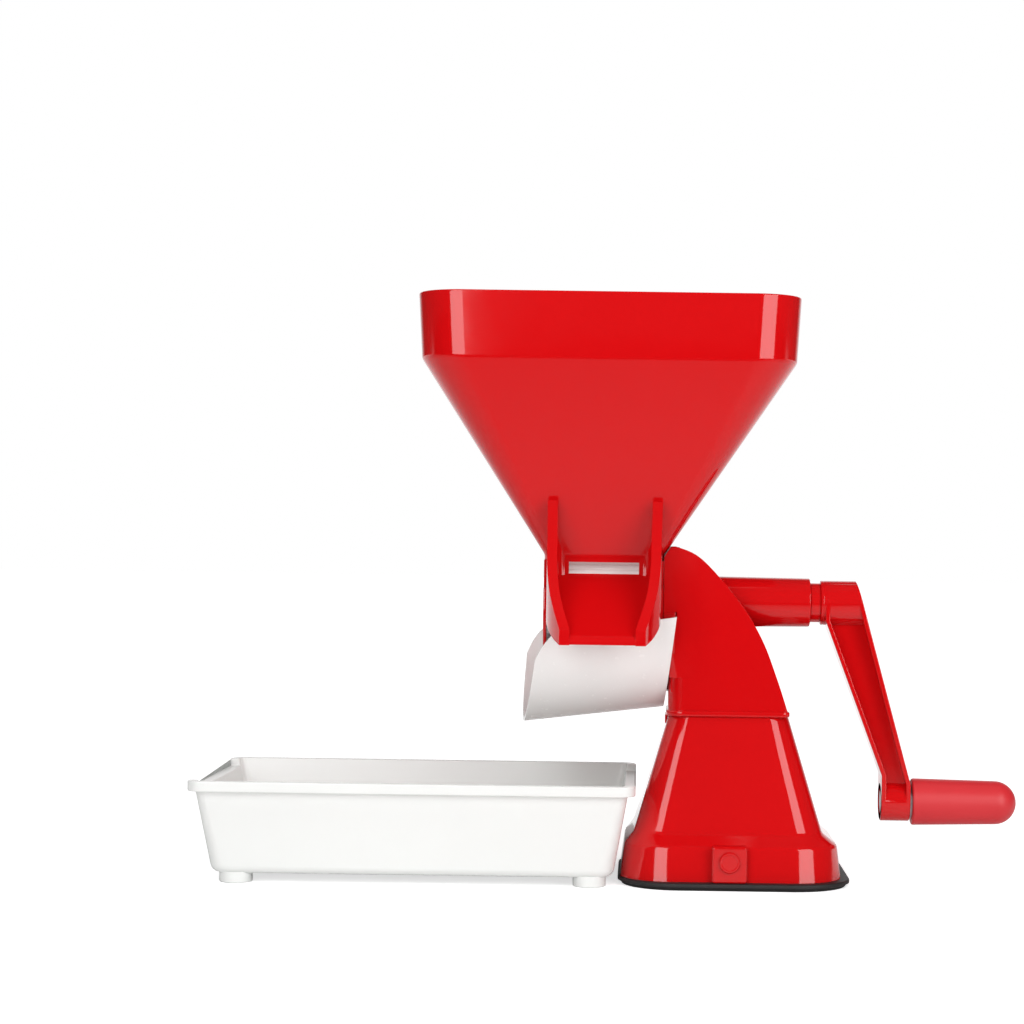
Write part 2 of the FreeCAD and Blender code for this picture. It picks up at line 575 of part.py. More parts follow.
def fairing():
    """Thin wedge that carries the front cheek's face on to the screen's end boss."""
    def section(proud, z):
        left, inner = THROAT_RIGHT + FIT, -CHEEK_Y + CHEEK_T / 2
        return Part.makePolygon([Vector(left, -CHEEK_Y - proud, z),
                                 Vector(FAIRING_RIGHT, -CHEEK_Y, z),
                                 Vector(FAIRING_RIGHT, inner, z), Vector(left, inner, z),
                                 Vector(left, -CHEEK_Y - proud, z)])

    proud = -CHEEK_Y - THROAT_FRONT
    wedge = loft(section(FIT, FAIRING_LOW), section(proud, APRON_RIM),
                 section(proud, CHEEK_TOP))
    return wedge.common(cheek_profile(-CHEEK_Y - 2 * proud, 0)).cut(leaning_block(FIT))


def body_slab(grow, z0, z1):
    """Block in the plan of the upper body, with tighter corners at the right."""
    left_part = slab(BODY_MIDDLE, 0, BODY_LENGTH / 2 + grow, CHEEK_Y + grow,
                     BODY_CORNER + grow, z0, z1)
    right_part = slab((BODY_MIDDLE + CHEEK_RIGHT + grow) / 2, 0,
                      (CHEEK_RIGHT + grow - BODY_MIDDLE) / 2, CHEEK_Y + grow,
                      BODY_RIGHT_CORNER + grow, z0, z1)
    return left_part.fuse(right_part).removeSplitter()


def upper_body():
    """Two cheeks on a floor, the bearing tube between them and the screen's end boss."""
    block = body_slab(0, WAIST_Z, CHEEK_TOP)
    # The hollow between the cheeks is open at the top and the right.
    inside = slab(BODY_MIDDLE + CHEEK_T + BODY_CORNER, 0, BODY_LENGTH / 2 + BODY_CORNER,
                  CHEEK_Y - CHEEK_T, BODY_CORNER - CHEEK_T, BODY_FLOOR, CHEEK_TOP + OVER)
    shell = block.common(cheek_profile(-CHEEK_Y - OVER, CHEEK_Y + OVER)).cut(inside)
    # The lower left of the shell leans back to make room for the apron.
    shell = shell.cut(leaning_block(FIT))
    boss_left, boss_top = THROAT_RIGHT + FIT, CHEEK_TOP - BOSS_DROP
    boss = end_profile(SCREEN_R, boss_left, BOSS_RIGHT - boss_left, boss_top)
    # Above the apron the boss's front lies in one plane with the throat's front wall.
    boss = boss.cut(box(boss_left - OVER, BOSS_RIGHT + OVER, THROAT_Y - SCREEN_R - OVER,
                        THROAT_FRONT, APRON_RIM + FIT, CHEEK_TOP))
    half = CHEEK_Y - CHEEK_T
    link = box(BOSS_RIGHT - BOSS_LINK, BOSS_RIGHT + BOSS_LINK, -half, half,
               SCREEN_Z - SCREEN_R + BOSS_LINK, boss_top)
    tube = Part.makeCone(TUBE_R_LEFT, TUBE_R_RIGHT, TUBE_RIGHT - BOSS_RIGHT,
                         Vector(BOSS_RIGHT, 0, AXIS_Z), Vector(1, 0, 0))
    web = prism([(BOSS_RIGHT, -CHEEK_T / 2, BODY_FLOOR), (WEB_FOOT, -CHEEK_T / 2, BODY_FLOOR),
                 (WEB_TOP, -CHEEK_T / 2, AXIS_Z), (BOSS_RIGHT, -CHEEK_T / 2, AXIS_Z)],
                (0, CHEEK_T, 0))
    bead = body_slab(BEAD, WAIST_Z + FIT, WAIST_Z + FIT + BEAD_HEIGHT)
    body = fuse(shell, fairing(), boss, link, tube, web, bead).cut(funnel_room())
    for x, y in screw_places():
        body = body.fuse(rod_z(SCREW_R + SCREW_WALL, WAIST_Z, WAIST_Z + SCREW_LENGTH, x, y))
        body = body.cut(rod_z(SCREW_R, WAIST_Z - OVER,
                              WAIST_Z - DECK + SCREW_LENGTH + SCREW_SPARE, x, y))
    return body.cut(rod_x(TUBE_BORE, boss_left - OVER, TUBE_RIGHT + OVER))


def body_screws():
    seat = WAIST_Z - DECK
    screws = []
    for x, y in screw_places():
        head = rod_z(SCREW_HEAD_R, seat - SCREW_HEAD_T, seat, x, y)
        screws.append(fuse(head, rod_z(SCREW_R, seat, seat + SCREW_LENGTH, x, y)))
    return Part.makeCompound(screws)


def side_clip():
    """Wedge-shaped latch on the pedestal's left slope, under the upper body's bead."""
    z1 = WAIST_Z
    z0 = z1 - CLIP_HEIGHT
    x0, x1 = [-pedestal_side(z) - FIT for z in (z0, z1)]
    y = -CLIP_WIDTH / 2
    return prism([(x1, y, z1), (x0, y, z0), (CLIP_LEFT, y, z0), (CLIP_LEFT, y, z1)],
                 (0, CLIP_WIDTH, 0))


# ---------------------------------------------------------------- axle and drum
SHAFT_RIGHT = HUB_RIGHT - HUB_POCKET - HUB_BRIDGE


def press_drum():
    left = THROAT_LEFT + END_WALL + DRUM_GAP
    right = THROAT_RIGHT - END_WALL - DRUM_GAP
    drum = rod_x(DRUM_R, left, right)
    grooves = []
    reach = DRUM_R - FLUTE_DEPTH + FLUTE_R
    for i in range(DRUM_FLUTES):
        angle = 2 * math.pi * i / DRUM_FLUTES
        grooves.append(rod_x(FLUTE_R, left - OVER, right + OVER,
                             reach * math.cos(angle), AXIS_Z + reach * math.sin(angle)))
    drum = drum.cut(Part.makeCompound(grooves))
    return drum.cut(rod_x(SHAFT_R, left - OVER, right + OVER))


def drive_shaft():
    shaft = rod_x(SHAFT_R, THROAT_LEFT + END_BUSH_SKIN + DRUM_GAP / 2, SHAFT_RIGHT)
    return shaft.cut(rod_x(CRANK_SCREW_R, SHAFT_RIGHT - CRANK_SCREW_LENGTH,
                           SHAFT_RIGHT + OVER))


def ring_x(r_out, r_in, x0, x1):
    return rod_x(r_out, x0, x1).cut(rod_x(r_in, x0 - OVER, x1 + OVER))


def end_bush():
    return ring_x(END_BUSH_R, SHAFT_R + RUN, THROAT_LEFT + END_BUSH_SKIN,
                  THROAT_LEFT + END_WALL)


def shaft_seal():
    return ring_x(SEAL_R, SHAFT_R + RUN, THROAT_RIGHT - END_WALL, THROAT_RIGHT)


def inner_bush():
    return ring_x(TUBE_BORE, SHAFT_R + RUN, THROAT_RIGHT + FIT, THROAT_RIGHT + BUSH_LENGTH)


def outer_bush():
    return ring_x(TUBE_BORE, SHAFT_R + RUN, TUBE_RIGHT - BUSH_LENGTH, TUBE_RIGHT)


# ---------------------------------------------------------------- crank
def thrust_collar():
    """Neck between the bearing tube and the crank's hub."""
    return ring_x(COLLAR_R, SHAFT_R, TUBE_RIGHT + FIT, COLLAR_RIGHT)


GRIP_Z = AXIS_Z - CRANK_RADIUS


def arm_plate(face, thickness):
    """Plate across the arm to the right of a face, which is a line of (x, z) points."""
    y = HUB_R + OVER
    points = [(x, -y, z) for x, z in face]
    points += [(x + thickness, -y, z) for x, z in face[::-1]]
    return prism(points, (0, 2 * y, 0))


def arm_outline():
    """The arm as seen along the axle: two rounds joined by straight sides."""
    x0, x1 = COLLAR_RIGHT, BOSS_END
    sides = prism([(x0, -HUB_R, AXIS_Z), (x0, HUB_R, AXIS_Z),
                   (x0, BOSS_R, GRIP_Z), (x0, -BOSS_R, GRIP_Z)], (x1 - x0, 0, 0))
    return fuse(sides, rod_x(HUB_R, x0, x1), rod_x(BOSS_R, x0, x1, 0, GRIP_Z))


def crank_arm():
    """I-section arm between the hub and the grip's boss."""
    top, bottom = AXIS_Z + HUB_R + OVER, GRIP_Z - BOSS_R - OVER
    inner_x, outer_x = COLLAR_RIGHT + ARM_INSET, HUB_RIGHT + ARM_PROUD
    inner = [(inner_x, top), (inner_x, AXIS_Z - ARM_HUB_BEND),
             (BOSS_LEFT, GRIP_Z + ARM_BOSS_BEND), (BOSS_LEFT, bottom)]
    bend = GRIP_Z + ARM_OUTER_BEND
    lean = (BOSS_END - outer_x) / (AXIS_Z - bend)
    outer = [(outer_x - (top - AXIS_Z) * lean, top), (BOSS_END, bend), (BOSS_END, bottom)]
    outer_inside = [(x - ARM_FLANGE, z) for x, z in outer]
    y = ARM_WEB / 2
    web = prism([(x, -y, z) for x, z in inner + outer_inside[::-1]], (0, ARM_WEB, 0))
    arm = fuse(arm_plate(outer_inside, ARM_FLANGE), arm_plate(inner, ARM_FLANGE), web)
    hub = rod_x(HUB_R, COLLAR_RIGHT, BOSS_LEFT).cut(arm_plate(outer, HUB_R + BOSS_LEFT))
    arm = fuse(arm.common(arm_outline()), hub, rod_x(BOSS_R, BOSS_LEFT, BOSS_END, 0, GRIP_Z))
    far = BOSS_END + OVER
    for cutter in (rod_x(SHAFT_R, COLLAR_RIGHT - OVER, SHAFT_RIGHT),
                   rod_x(HUB_POCKET_R, HUB_RIGHT - HUB_POCKET, far),
                   rod_x(CRANK_SCREW_R + FIT, SHAFT_RIGHT - OVER, HUB_RIGHT),
                   rod_x(GRIP_PIN_R, COLLAR_RIGHT, far, 0, GRIP_Z),
                   rod_x(PIN_HEAD_R + FIT, COLLAR_RIGHT, BOSS_LEFT + PIN_HEAD_T, 0, GRIP_Z)):
        arm = arm.cut(cutter)
    return arm


def crank_washer():
    x = HUB_RIGHT - HUB_POCKET
    return ring_x(HUB_POCKET_R - SOFT, CRANK_SCREW_R, x, x + CRANK_WASHER_T)


def crank_screw():
    x = HUB_RIGHT - HUB_POCKET + CRANK_WASHER_T
    head = rod_x(CRANK_SCREW_HEAD_R, x, x + CRANK_SCREW_HEAD_T)
    return fuse(rod_x(CRANK_SCREW_R, x - CRANK_SCREW_LENGTH, x), head)


GRIP_LEFT = BOSS_END + WASHER_T + RUN
SNAP_LEFT = GRIP_LEFT + GRIP_PIN_LENGTH - CLIP_GROOVE


def snap_groove(gap):
    """Ring-shaped room for the snap ring, wider by gap on each side."""
    outer = rod_x(GRIP_PIN_R + SNAP_PROUD, SNAP_LEFT - gap, SNAP_LEFT + SNAP_T + gap, 0, GRIP_Z)
    return outer.cut(rod_x(GRIP_PIN_R - SNAP_BITE, SNAP_LEFT - OVER, SNAP_LEFT + SNAP_T + OVER,
                           0, GRIP_Z))


def grip_pin():
    head = rod_x(PIN_HEAD_R, BOSS_LEFT + PIN_HEAD_DEPTH, BOSS_LEFT + PIN_HEAD_T, 0, GRIP_Z)
    shank = rod_x(GRIP_PIN_R, BOSS_LEFT + PIN_HEAD_T, GRIP_LEFT + GRIP_PIN_LENGTH, 0, GRIP_Z)
    return fuse(head, shank).cut(snap_groove(0))


def grip_clip():
    """Snap ring in the pin's groove that keeps the grip on."""
    half = SNAP_GAP / 2
    mouth = box(SNAP_LEFT - OVER, SNAP_LEFT + SNAP_T + OVER, -half, half,
                GRIP_Z, GRIP_Z + 2 * GRIP_PIN_R)
    return snap_groove(0).cut(mouth)


def grip_washer():
    hole = rod_x(GRIP_PIN_R + FIT, BOSS_END - OVER, BOSS_END + WASHER_T + OVER, 0, GRIP_Z)
    return rod_x(BOSS_R - BEAD, BOSS_END, BOSS_END + WASHER_T, 0, GRIP_Z).cut(hole)


def grip():
    """Turning handle: slightly tapered, with a round end."""
    round_start = GRIP_LEFT + GRIP_LENGTH - GRIP_R_END
    cone = Part.makeCone(GRIP_R_ARM, GRIP_R_END, round_start - GRIP_LEFT,
                         Vector(GRIP_LEFT, 0, GRIP_Z), Vector(1, 0, 0))
    ball = Part.makeSphere(GRIP_R_END, Vector(round_start, 0, GRIP_Z))
    bore = rod_x(GRIP_PIN_R + RUN, GRIP_LEFT - OVER, GRIP_LEFT + GRIP_PIN_LENGTH + SOFT,
                 0, GRIP_Z)
    room = rod_x(GRIP_PIN_R + SNAP_PROUD + RUN, SNAP_LEFT - FIT, SNAP_LEFT + SNAP_T + FIT,
                 0, GRIP_Z)
    return fuse(cone, ball).cut(bore).cut(room)


# ---------------------------------------------------------------- tray and pestle
def tray():
    """Open tray with a thick rim, four feet and slightly lower ends."""
    mid_x, half_x = (TRAY_LEFT + TRAY_RIGHT) / 2, (TRAY_RIGHT - TRAY_LEFT) / 2
    mid_y, half_y = (TRAY_FRONT + TRAY_BACK) / 2, (TRAY_BACK - TRAY_FRONT) / 2
    wall_x, wall_y = half_x - TRAY_LIP, half_y - TRAY_LIP

    def form(shrink, z_low):
        return loft(rounded(mid_x, mid_y, wall_x - TRAY_TAPER - shrink,
                            wall_y - TRAY_TAPER - shrink, TRAY_FOOT_CORNER - shrink, z_low),
                    rounded(mid_x, mid_y, wall_x - shrink, wall_y - shrink,
                            TRAY_CORNER - shrink, TRAY_HEIGHT))

    body = form(0, TRAY_FLOOR)
    body = body.makeFillet(TRAY_ROUND, edges_at(body, "Z", TRAY_FLOOR))
    lip = slab(mid_x, mid_y, half_x, half_y, TRAY_CORNER + TRAY_LIP,
               TRAY_HEIGHT - TRAY_LIP_HEIGHT, TRAY_HEIGHT)
    # The feet stand under the rounded corners of the floor.
    foot_x = wall_x - TRAY_TAPER - FOOT_INSET_X
    foot_y = wall_y - TRAY_TAPER - FOOT_INSET_Y
    feet = [rod_z(FOOT_R, 0, TRAY_FLOOR + OVER, mid_x + sx * foot_x, mid_y + sy * foot_y)
            for sx in (-1, 1) for sy in (-1, 1)]
    body = fuse(body, lip, *feet)
    body = body.cut(form(TRAY_WALL, TRAY_FLOOR + TRAY_WALL))
    through = TRAY_LIP + 2 * TRAY_WALL
    for x in (TRAY_LEFT - OVER, TRAY_RIGHT + OVER - through):
        body = body.cut(box(x, x + through, TRAY_FRONT + TRAY_DIP_INSET,
                            TRAY_BACK - TRAY_DIP_INSET, TRAY_HEIGHT - TRAY_DIP,
                            TRAY_HEIGHT + OVER))
    return body


def pestle():
    """Round pusher, turned about its own axis, head to the left."""
    y, z = TRAY_BACK + PESTLE_GAP + PESTLE_HEAD_R, PESTLE_HEAD_R
    shoulder_x = PESTLE_LEFT + PESTLE_HEAD
    neck_x = shoulder_x + PESTLE_CONE
    ball_x = PESTLE_LEFT + PESTLE_LENGTH - PESTLE_END_R
    along = Vector(1, 0, 0)
    head = rod_x(PESTLE_HEAD_R, PESTLE_LEFT, shoulder_x, y, z)
    head = head.makeFillet(PESTLE_EDGE, edges_at(head, "X", PESTLE_LEFT))
    shoulder = Part.makeCone(PESTLE_HEAD_R, PESTLE_NECK_R, PESTLE_CONE,
                             Vector(shoulder_x, y, z), along)
    handle = Part.makeCone(PESTLE_NECK_R, PESTLE_END_R, ball_x - neck_x,
                           Vector(neck_x, y, z), along)
    return fuse(head, shoulder, handle, Part.makeSphere(PESTLE_END_R, Vector(ball_x, y, z)))


NODES = [suction_pad, pedestal, cam_axle, axle_cap, suction_lever, lever_pin, suction_stem,
         hopper, strainer_screen, juice_apron, upper_body, body_screws, side_clip,
         press_drum, drive_shaft, end_bush, shaft_seal, inner_bush, outer_bush,
         thrust_collar, crank_arm, crank_washer, crank_screw, grip_pin, grip_clip,
         grip_washer, grip, tray, pestle]

os.makedirs("parts", exist_ok=True)
for make in NODES:
    save(make(), make.__name__)
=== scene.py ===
"""Looks of the hand-cranked tomato strainer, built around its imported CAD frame.

Pieces are modelled in millimetres in the frame's own axes: X along the crank axle towards
the crank, Y to the back, Z up from the table.  They are scaled to metres when finished.
"""
import math

import bmesh
import bpy
from mathutils import Matrix, Vector


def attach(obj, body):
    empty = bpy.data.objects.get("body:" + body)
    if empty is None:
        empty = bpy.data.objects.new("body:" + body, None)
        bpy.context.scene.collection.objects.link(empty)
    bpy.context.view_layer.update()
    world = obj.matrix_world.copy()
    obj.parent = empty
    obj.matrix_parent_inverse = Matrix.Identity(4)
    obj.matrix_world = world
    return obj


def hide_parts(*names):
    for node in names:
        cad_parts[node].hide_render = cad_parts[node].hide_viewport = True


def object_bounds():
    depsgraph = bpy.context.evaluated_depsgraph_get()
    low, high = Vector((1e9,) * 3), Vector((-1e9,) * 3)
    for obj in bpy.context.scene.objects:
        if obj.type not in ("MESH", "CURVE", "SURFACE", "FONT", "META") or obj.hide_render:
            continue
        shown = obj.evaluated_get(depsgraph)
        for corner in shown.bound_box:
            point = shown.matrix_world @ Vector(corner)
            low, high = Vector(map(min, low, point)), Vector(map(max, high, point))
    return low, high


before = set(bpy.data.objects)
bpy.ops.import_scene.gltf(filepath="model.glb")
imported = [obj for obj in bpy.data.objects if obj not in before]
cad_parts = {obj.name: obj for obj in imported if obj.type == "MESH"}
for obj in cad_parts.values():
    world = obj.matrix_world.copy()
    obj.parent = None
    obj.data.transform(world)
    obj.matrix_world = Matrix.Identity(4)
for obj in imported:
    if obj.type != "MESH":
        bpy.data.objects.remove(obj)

cad_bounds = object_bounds()
MM = 0.001


# ---------------- modelling tools
def only(piece):
    """Selects one object and nothing else."""
    bpy.ops.object.select_all(action="DESELECT")
    bpy.context.view_layer.objects.active = piece
    piece.select_set(True)


def select(piece, kind, test=lambda item: True):
    """Goes into edit mode with the vertices, edges or faces that pass the test selected."""
    only(piece)
    bpy.ops.object.mode_set(mode="EDIT")
    bpy.ops.mesh.select_mode(type=kind)
    bpy.ops.mesh.select_all(action="DESELECT")
    mesh = bmesh.from_edit_mesh(piece.data)
    items = {"VERT": mesh.verts, "EDGE": mesh.edges, "FACE": mesh.faces}[kind]
    for item in items:
        if test(item):
            item.select_set(True)
    mesh.select_flush_mode()
    bmesh.update_edit_mesh(piece.data)


def leave():
    """Goes back to object mode."""
    bpy.ops.object.mode_set(mode="OBJECT")


def at(near=0.05, **places):
    """Test for edges that lie at the given places, such as z=5."""
    return lambda edge: all(abs(getattr(vertex.co, axis) - place) < near
                            for vertex in edge.verts for axis, place in places.items())


def outline(name, points):
    """One flat face through the points."""
    bpy.ops.object.select_all(action="DESELECT")
    bpy.ops.mesh.primitive_circle_add(vertices=len(points), fill_type="NGON")
    piece = bpy.context.object
    piece.name = piece.data.name = name
    for vertex, point in zip(piece.data.vertices, points):
        vertex.co = point
    return piece


def face_outwards(piece):
    """Turns all normals of a closed piece outwards."""
    select(piece, "FACE")
    bpy.ops.mesh.normals_make_consistent(inside=False)
    leave()


def merge(piece, near=0.001):
    """Merges vertices that lie together."""
    select(piece, "VERT")
    bpy.ops.mesh.remove_doubles(threshold=near)
    leave()


def plate(name, points, depth):
    """Outline pushed along the vector depth into a solid."""
    piece = outline(name, points)
    select(piece, "FACE")
    bpy.ops.mesh.extrude_region_move(TRANSFORM_OT_translate={"value": depth})
    leave()
    face_outwards(piece)
    return piece


def block(name, low, high):
    """Box between two corners."""
    bpy.ops.object.select_all(action="DESELECT")
    middle = [(a + b) / 2 for a, b in zip(low, high)]
    bpy.ops.mesh.primitive_cube_add(size=1, location=middle,
                                    scale=[b - a for a, b in zip(low, high)])
    piece = bpy.context.object
    piece.name = piece.data.name = name
    bpy.ops.object.transform_apply()
    return piece


def arc(across, up, radius, start, end, steps):
    """Points of an arc between two angles in degrees, as (across, up) pairs."""
    angles = [math.radians(start + (end - start) * step / steps) for step in range(steps + 1)]
    return [(across + radius * math.cos(angle), up + radius * math.sin(angle))
            for angle in angles]


CORNER_STEPS = 10


def rounded(middle, half, inset, corner, z):
    """Points of a level rounded rectangle, drawn in by inset all round."""
    (x, y), (half_x, half_y) = middle, [side - inset for side in half]
    points = []
    for quarter, (sx, sy) in enumerate(((1, 1), (-1, 1), (-1, -1), (1, -1))):
        centre = Vector((x + sx * (half_x - corner), y + sy * (half_y - corner), z))
        for step in range(CORNER_STEPS + 1):
            angle = math.radians(90 * (quarter + step / CORNER_STEPS))
            points.append(centre + corner * Vector((math.cos(angle), math.sin(angle), 0)))
    return points


def reshape(piece, old, new):
    """Moves the selected vertices from the points of one outline to those of the next."""
    mesh = bmesh.from_edit_mesh(piece.data)
    for vertex in mesh.verts:
        if vertex.select:
            nearest = min(range(len(old)), key=lambda i: (old[i] - vertex.co).length_squared)
            vertex.co = new[nearest]
    bmesh.update_edit_mesh(piece.data)


def skin(name, outlines):
    """Solid through outlines of equal count, each extruded from the one before."""
    piece = outline(name, outlines[0])
    select(piece, "FACE")
    for level, following in zip(outlines, outlines[1:]):
        bpy.ops.mesh.extrude_region_move()
        reshape(piece, level, following)
    leave()
    face_outwards(piece)
    return piece


def loft(name, levels, through=False):
    """Solid through level rounded rectangles: middle, half sizes, inset, corner and height.

    With through, the last level meets the first one and the solid is a closed tube.
    """
    piece = skin(name, [rounded(*level) for level in levels])
    if through:
        select(piece, "FACE", lambda face: len(face.verts) > 4)
        bpy.ops.mesh.delete(type="ONLY_FACE")
        leave()
        merge(piece)
        face_outwards(piece)
    return piece


def smooth_run(points, steps=6):
    """Points of a smooth curve through all of the given ones."""
    ends = [points[0]] + points + [points[-1]]
    run = []
    for a, b, c, d in zip(ends, ends[1:], ends[2:], ends[3:]):
        for step in range(steps):
            t = step / steps
            run.append(tuple(
                0.5 * (2 * q + (r - p) * t + (2 * p - 5 * q + 4 * r - s) * t ** 2
                       + (3 * q - p - 3 * r + s) * t ** 3) for p, q, r, s in zip(a, b, c, d)))
    return run + [points[-1]]


def turned(name, profile, middle, along="X", sides=64):
    """Solid turned about a line through middle; profile is (place along it, radius) pairs.

    A profile that starts and ends at radius 0 is solid, any other one is a ring.
    """
    axis = {"X": Vector((1, 0, 0)), "Y": Vector((0, 1, 0)), "Z": Vector((0, 0, 1))}[along]
    side = Vector((1, 0, 0)) if along == "Z" else Vector((0, 0, 1))
    start = Vector(middle)
    start -= axis * start.dot(axis)
    piece = outline(name, [start + axis * place + side * radius for place, radius in profile])
    select(piece, "FACE")
    bpy.ops.mesh.delete(type="ONLY_FACE")
    leave()
    if profile[0][1] == 0:
        off = [start + axis * place for place, radius in (profile[0], profile[-1])]
        select(piece, "EDGE", lambda edge: all(min((vertex.co - end).length for end in off) < 0.001
                                               for vertex in edge.verts))
        bpy.ops.mesh.delete(type="EDGE_FACE")
        leave()
    select(piece, "EDGE")
    bpy.ops.mesh.spin(steps=sides, angle=math.radians(360), center=start, axis=axis)
    leave()
    merge(piece)
    face_outwards(piece)
    return piece


def rod(name, start, end, radius, middle, along="X", sides=64, bore=0):
    """Cylinder or tube between two places on a line through middle."""
    profile = [(start, bore), (start, radius), (end, radius), (end, bore)]
    return turned(name, profile, middle, along, sides)


def modify(piece, kind, **settings):
    """Gives the piece a modifier with these settings and applies it."""
    modifier = piece.modifiers.new(kind.lower(), kind)
    for name, value in settings.items():
        setattr(modifier, name, value)
    only(piece)
    bpy.ops.object.modifier_apply(modifier=modifier.name)


def carve(piece, tool, how="DIFFERENCE"):
    """Cuts the tool out of the piece, or joins it on."""
    modify(piece, "BOOLEAN", operation=how, solver="EXACT", object=tool)
    bpy.data.objects.remove(tool)


def add(piece, *others):
    """Joins other solids on, as one skin."""
    for other in others:
        carve(piece, other, "UNION")


def round_edges(piece, width, steps, test):
    """Rounds the edges that pass the test."""
    select(piece, "EDGE", test)
    bpy.ops.mesh.bevel(offset=width, segments=steps, affect="EDGES")
    leave()


def soften(piece, width, steps=2, angle=35):
    """Rounds every edge sharper than the angle."""
    modify(piece, "BEVEL", width=width, segments=steps, angle_limit=math.radians(angle),
           use_clamp_overlap=True)


def turn(piece, angle, axis, middle):
    """Turns the piece's mesh by degrees about a line through middle."""
    spin = Matrix.Rotation(math.radians(angle), 4, axis)
    piece.data.transform(Matrix.Translation(middle) @ spin @ Matrix.Translation(-Vector(middle)))


def keep(piece, body, slot, material, *nodes, smooth=32):
    """Finishes a piece: metres, shading, material, and its place in the frame."""
    only(piece)
    piece.scale = (MM, MM, MM)
    bpy.ops.object.transform_apply()
    bpy.ops.object.shade_smooth_by_angle(angle=math.radians(smooth))
    # Large faces keep their own normals, so that flats stay flat beside rounded edges.
    modify(piece, "WEIGHTED_NORMAL", keep_sharp=True)
    piece.data.materials.clear()
    piece.data.materials.append(material)
    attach(piece, body)
    if nodes:
        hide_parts(*nodes)


# ---------------- finishes
def srgb(code):
    """Linear colour of an sRGB hex value."""
    shares = [int(code[place:place + 2], 16) / 255 for place in (1, 3, 5)]
    return [share / 12.92 if share <= 0.04045 else ((share + 0.055) / 1.055) ** 2.4
            for share in shares] + [1]


def add_node(material, kind, links={}, **settings):
    """Adds one node; a setting is one of its properties or an input socket."""
    tree = material.node_tree
    node = tree.nodes.new("ShaderNode" + kind)
    for name, value in settings.items():
        if hasattr(node, name):
            setattr(node, name, value)
        else:
            node.inputs[name.replace("_", " ")].default_value = value
    for name, source in links.items():
        tree.links.new(source, node.inputs[name])
    return node


def finish(name, **settings):
    """New material with one Principled shader, whose sockets are set by name."""
    material = bpy.data.materials.new(name)
    material.use_nodes = True
    shader = material.node_tree.nodes["Principled BSDF"]
    for socket, value in settings.items():
        shader.inputs[socket.replace("_", " ")].default_value = value
    place = add_node(material, "TexCoord").outputs["Object"]
    return material, shader, place


def waves(material, place, size, **settings):
    """Noise whose lumps are size millimetres across."""
    return add_node(material, "TexNoise", {"Vector": place}, Scale=1 / (size * MM),
                    **settings).outputs["Fac"]


def tint(material, shader, factor, low, high):
    """Base colour between two hex colours."""
    mix = add_node(material, "Mix", data_type="RGBA")
    mix.inputs[6].default_value = srgb(low)
    mix.inputs[7].default_value = srgb(high)
    material.node_tree.links.new(factor, mix.inputs[0])
    material.node_tree.links.new(mix.outputs[2], shader.inputs["Base Color"])


def relief(material, shader, height, depth):
    """Bump whose full height is depth millimetres."""
    bump = add_node(material, "Bump", {"Height": height}, Distance=depth * MM, Strength=1.0)
    material.node_tree.links.new(bump.outputs["Normal"], shader.inputs["Normal"])


def roughen(material, shader, factor, low, high):
    """Roughness between two values."""
    spread = add_node(material, "MapRange", {"Value": factor}, To_Min=low, To_Max=high)
    material.node_tree.links.new(spread.outputs["Result"], shader.inputs["Roughness"])


def polished_abs(name, low, high):
    """ABS moulded in a polished tool: glossy, with the slow waves of a wall that has shrunk."""
    material, shader, place = finish(name, IOR=1.54, Specular_IOR_Level=0.58)
    shrink = waves(material, place, 24, Detail=1.0)
    flow = waves(material, place, 60, Detail=2.0)
    tint(material, shader, flow, low, high)
    handling = waves(material, place, 5, Detail=4.0, Roughness=0.7)
    roughen(material, shader, handling, 0.05, 0.1)
    relief(material, shader, shrink, 0.10)
    return material


def spark_eroded_abs(name, low, high):
    """ABS from a spark-eroded tool: satin, with a fine even grain that scatters the light."""
    material, shader, place = finish(name, IOR=1.54)
    flow = waves(material, place, 30, Detail=2.0)
    tint(material, shader, flow, low, high)
    grain = waves(material, place, 0.6, Detail=2.0)
    roughen(material, shader, grain, 0.36, 0.48)
    relief(material, shader, grain, 0.02)
    return material


def white_polypropylene(name, low, high, roughness):
    """Polypropylene: milky, so light goes a little way in and softens the edges."""
    material, shader, place = finish(name, IOR=1.49, Subsurface_Weight=0.12,
                                     Subsurface_Scale=2 * MM, Subsurface_Radius=(1, 1, 1))
    flow = waves(material, place, 45, Detail=2.0)
    tint(material, shader, flow, low, high)
    handling = waves(material, place, 4, Detail=3.0)
    roughen(material, shader, handling, roughness, roughness + 0.05)
    relief(material, shader, waves(material, place, 20, Detail=1.0), 0.08)
    return material


def natural_polyethylene():
    """Undyed polyethylene: waxy and half clear, brighter where it is thin."""
    material, shader, place = finish("natural_polyethylene", IOR=1.51, Subsurface_Weight=0.55,
                                     Subsurface_Scale=9 * MM, Subsurface_Radius=(1, 1, 1))
    flow = waves(material, place, 30, Detail=2.0)
    tint(material, shader, flow, "#F1F2F0", "#F8F8F6")
    handling = waves(material, place, 3, Detail=3.0)
    roughen(material, shader, handling, 0.3, 0.42)
    relief(material, shader, waves(material, place, 12, Detail=1.0), 0.08)
    return material


def moulded_rubber():
    """Nitrile rubber: near black and matt, with the bloom that greys its skin."""
    material, shader, place = finish("moulded_rubber", IOR=1.52)
    bloom = waves(material, place, 14, Detail=4.0)
    tint(material, shader, bloom, "#161414", "#211E1F")
    grain = waves(material, place, 0.8, Detail=2.0)
    roughen(material, shader, grain, 0.5, 0.64)
    relief(material, shader, grain, 0.05)
    return material


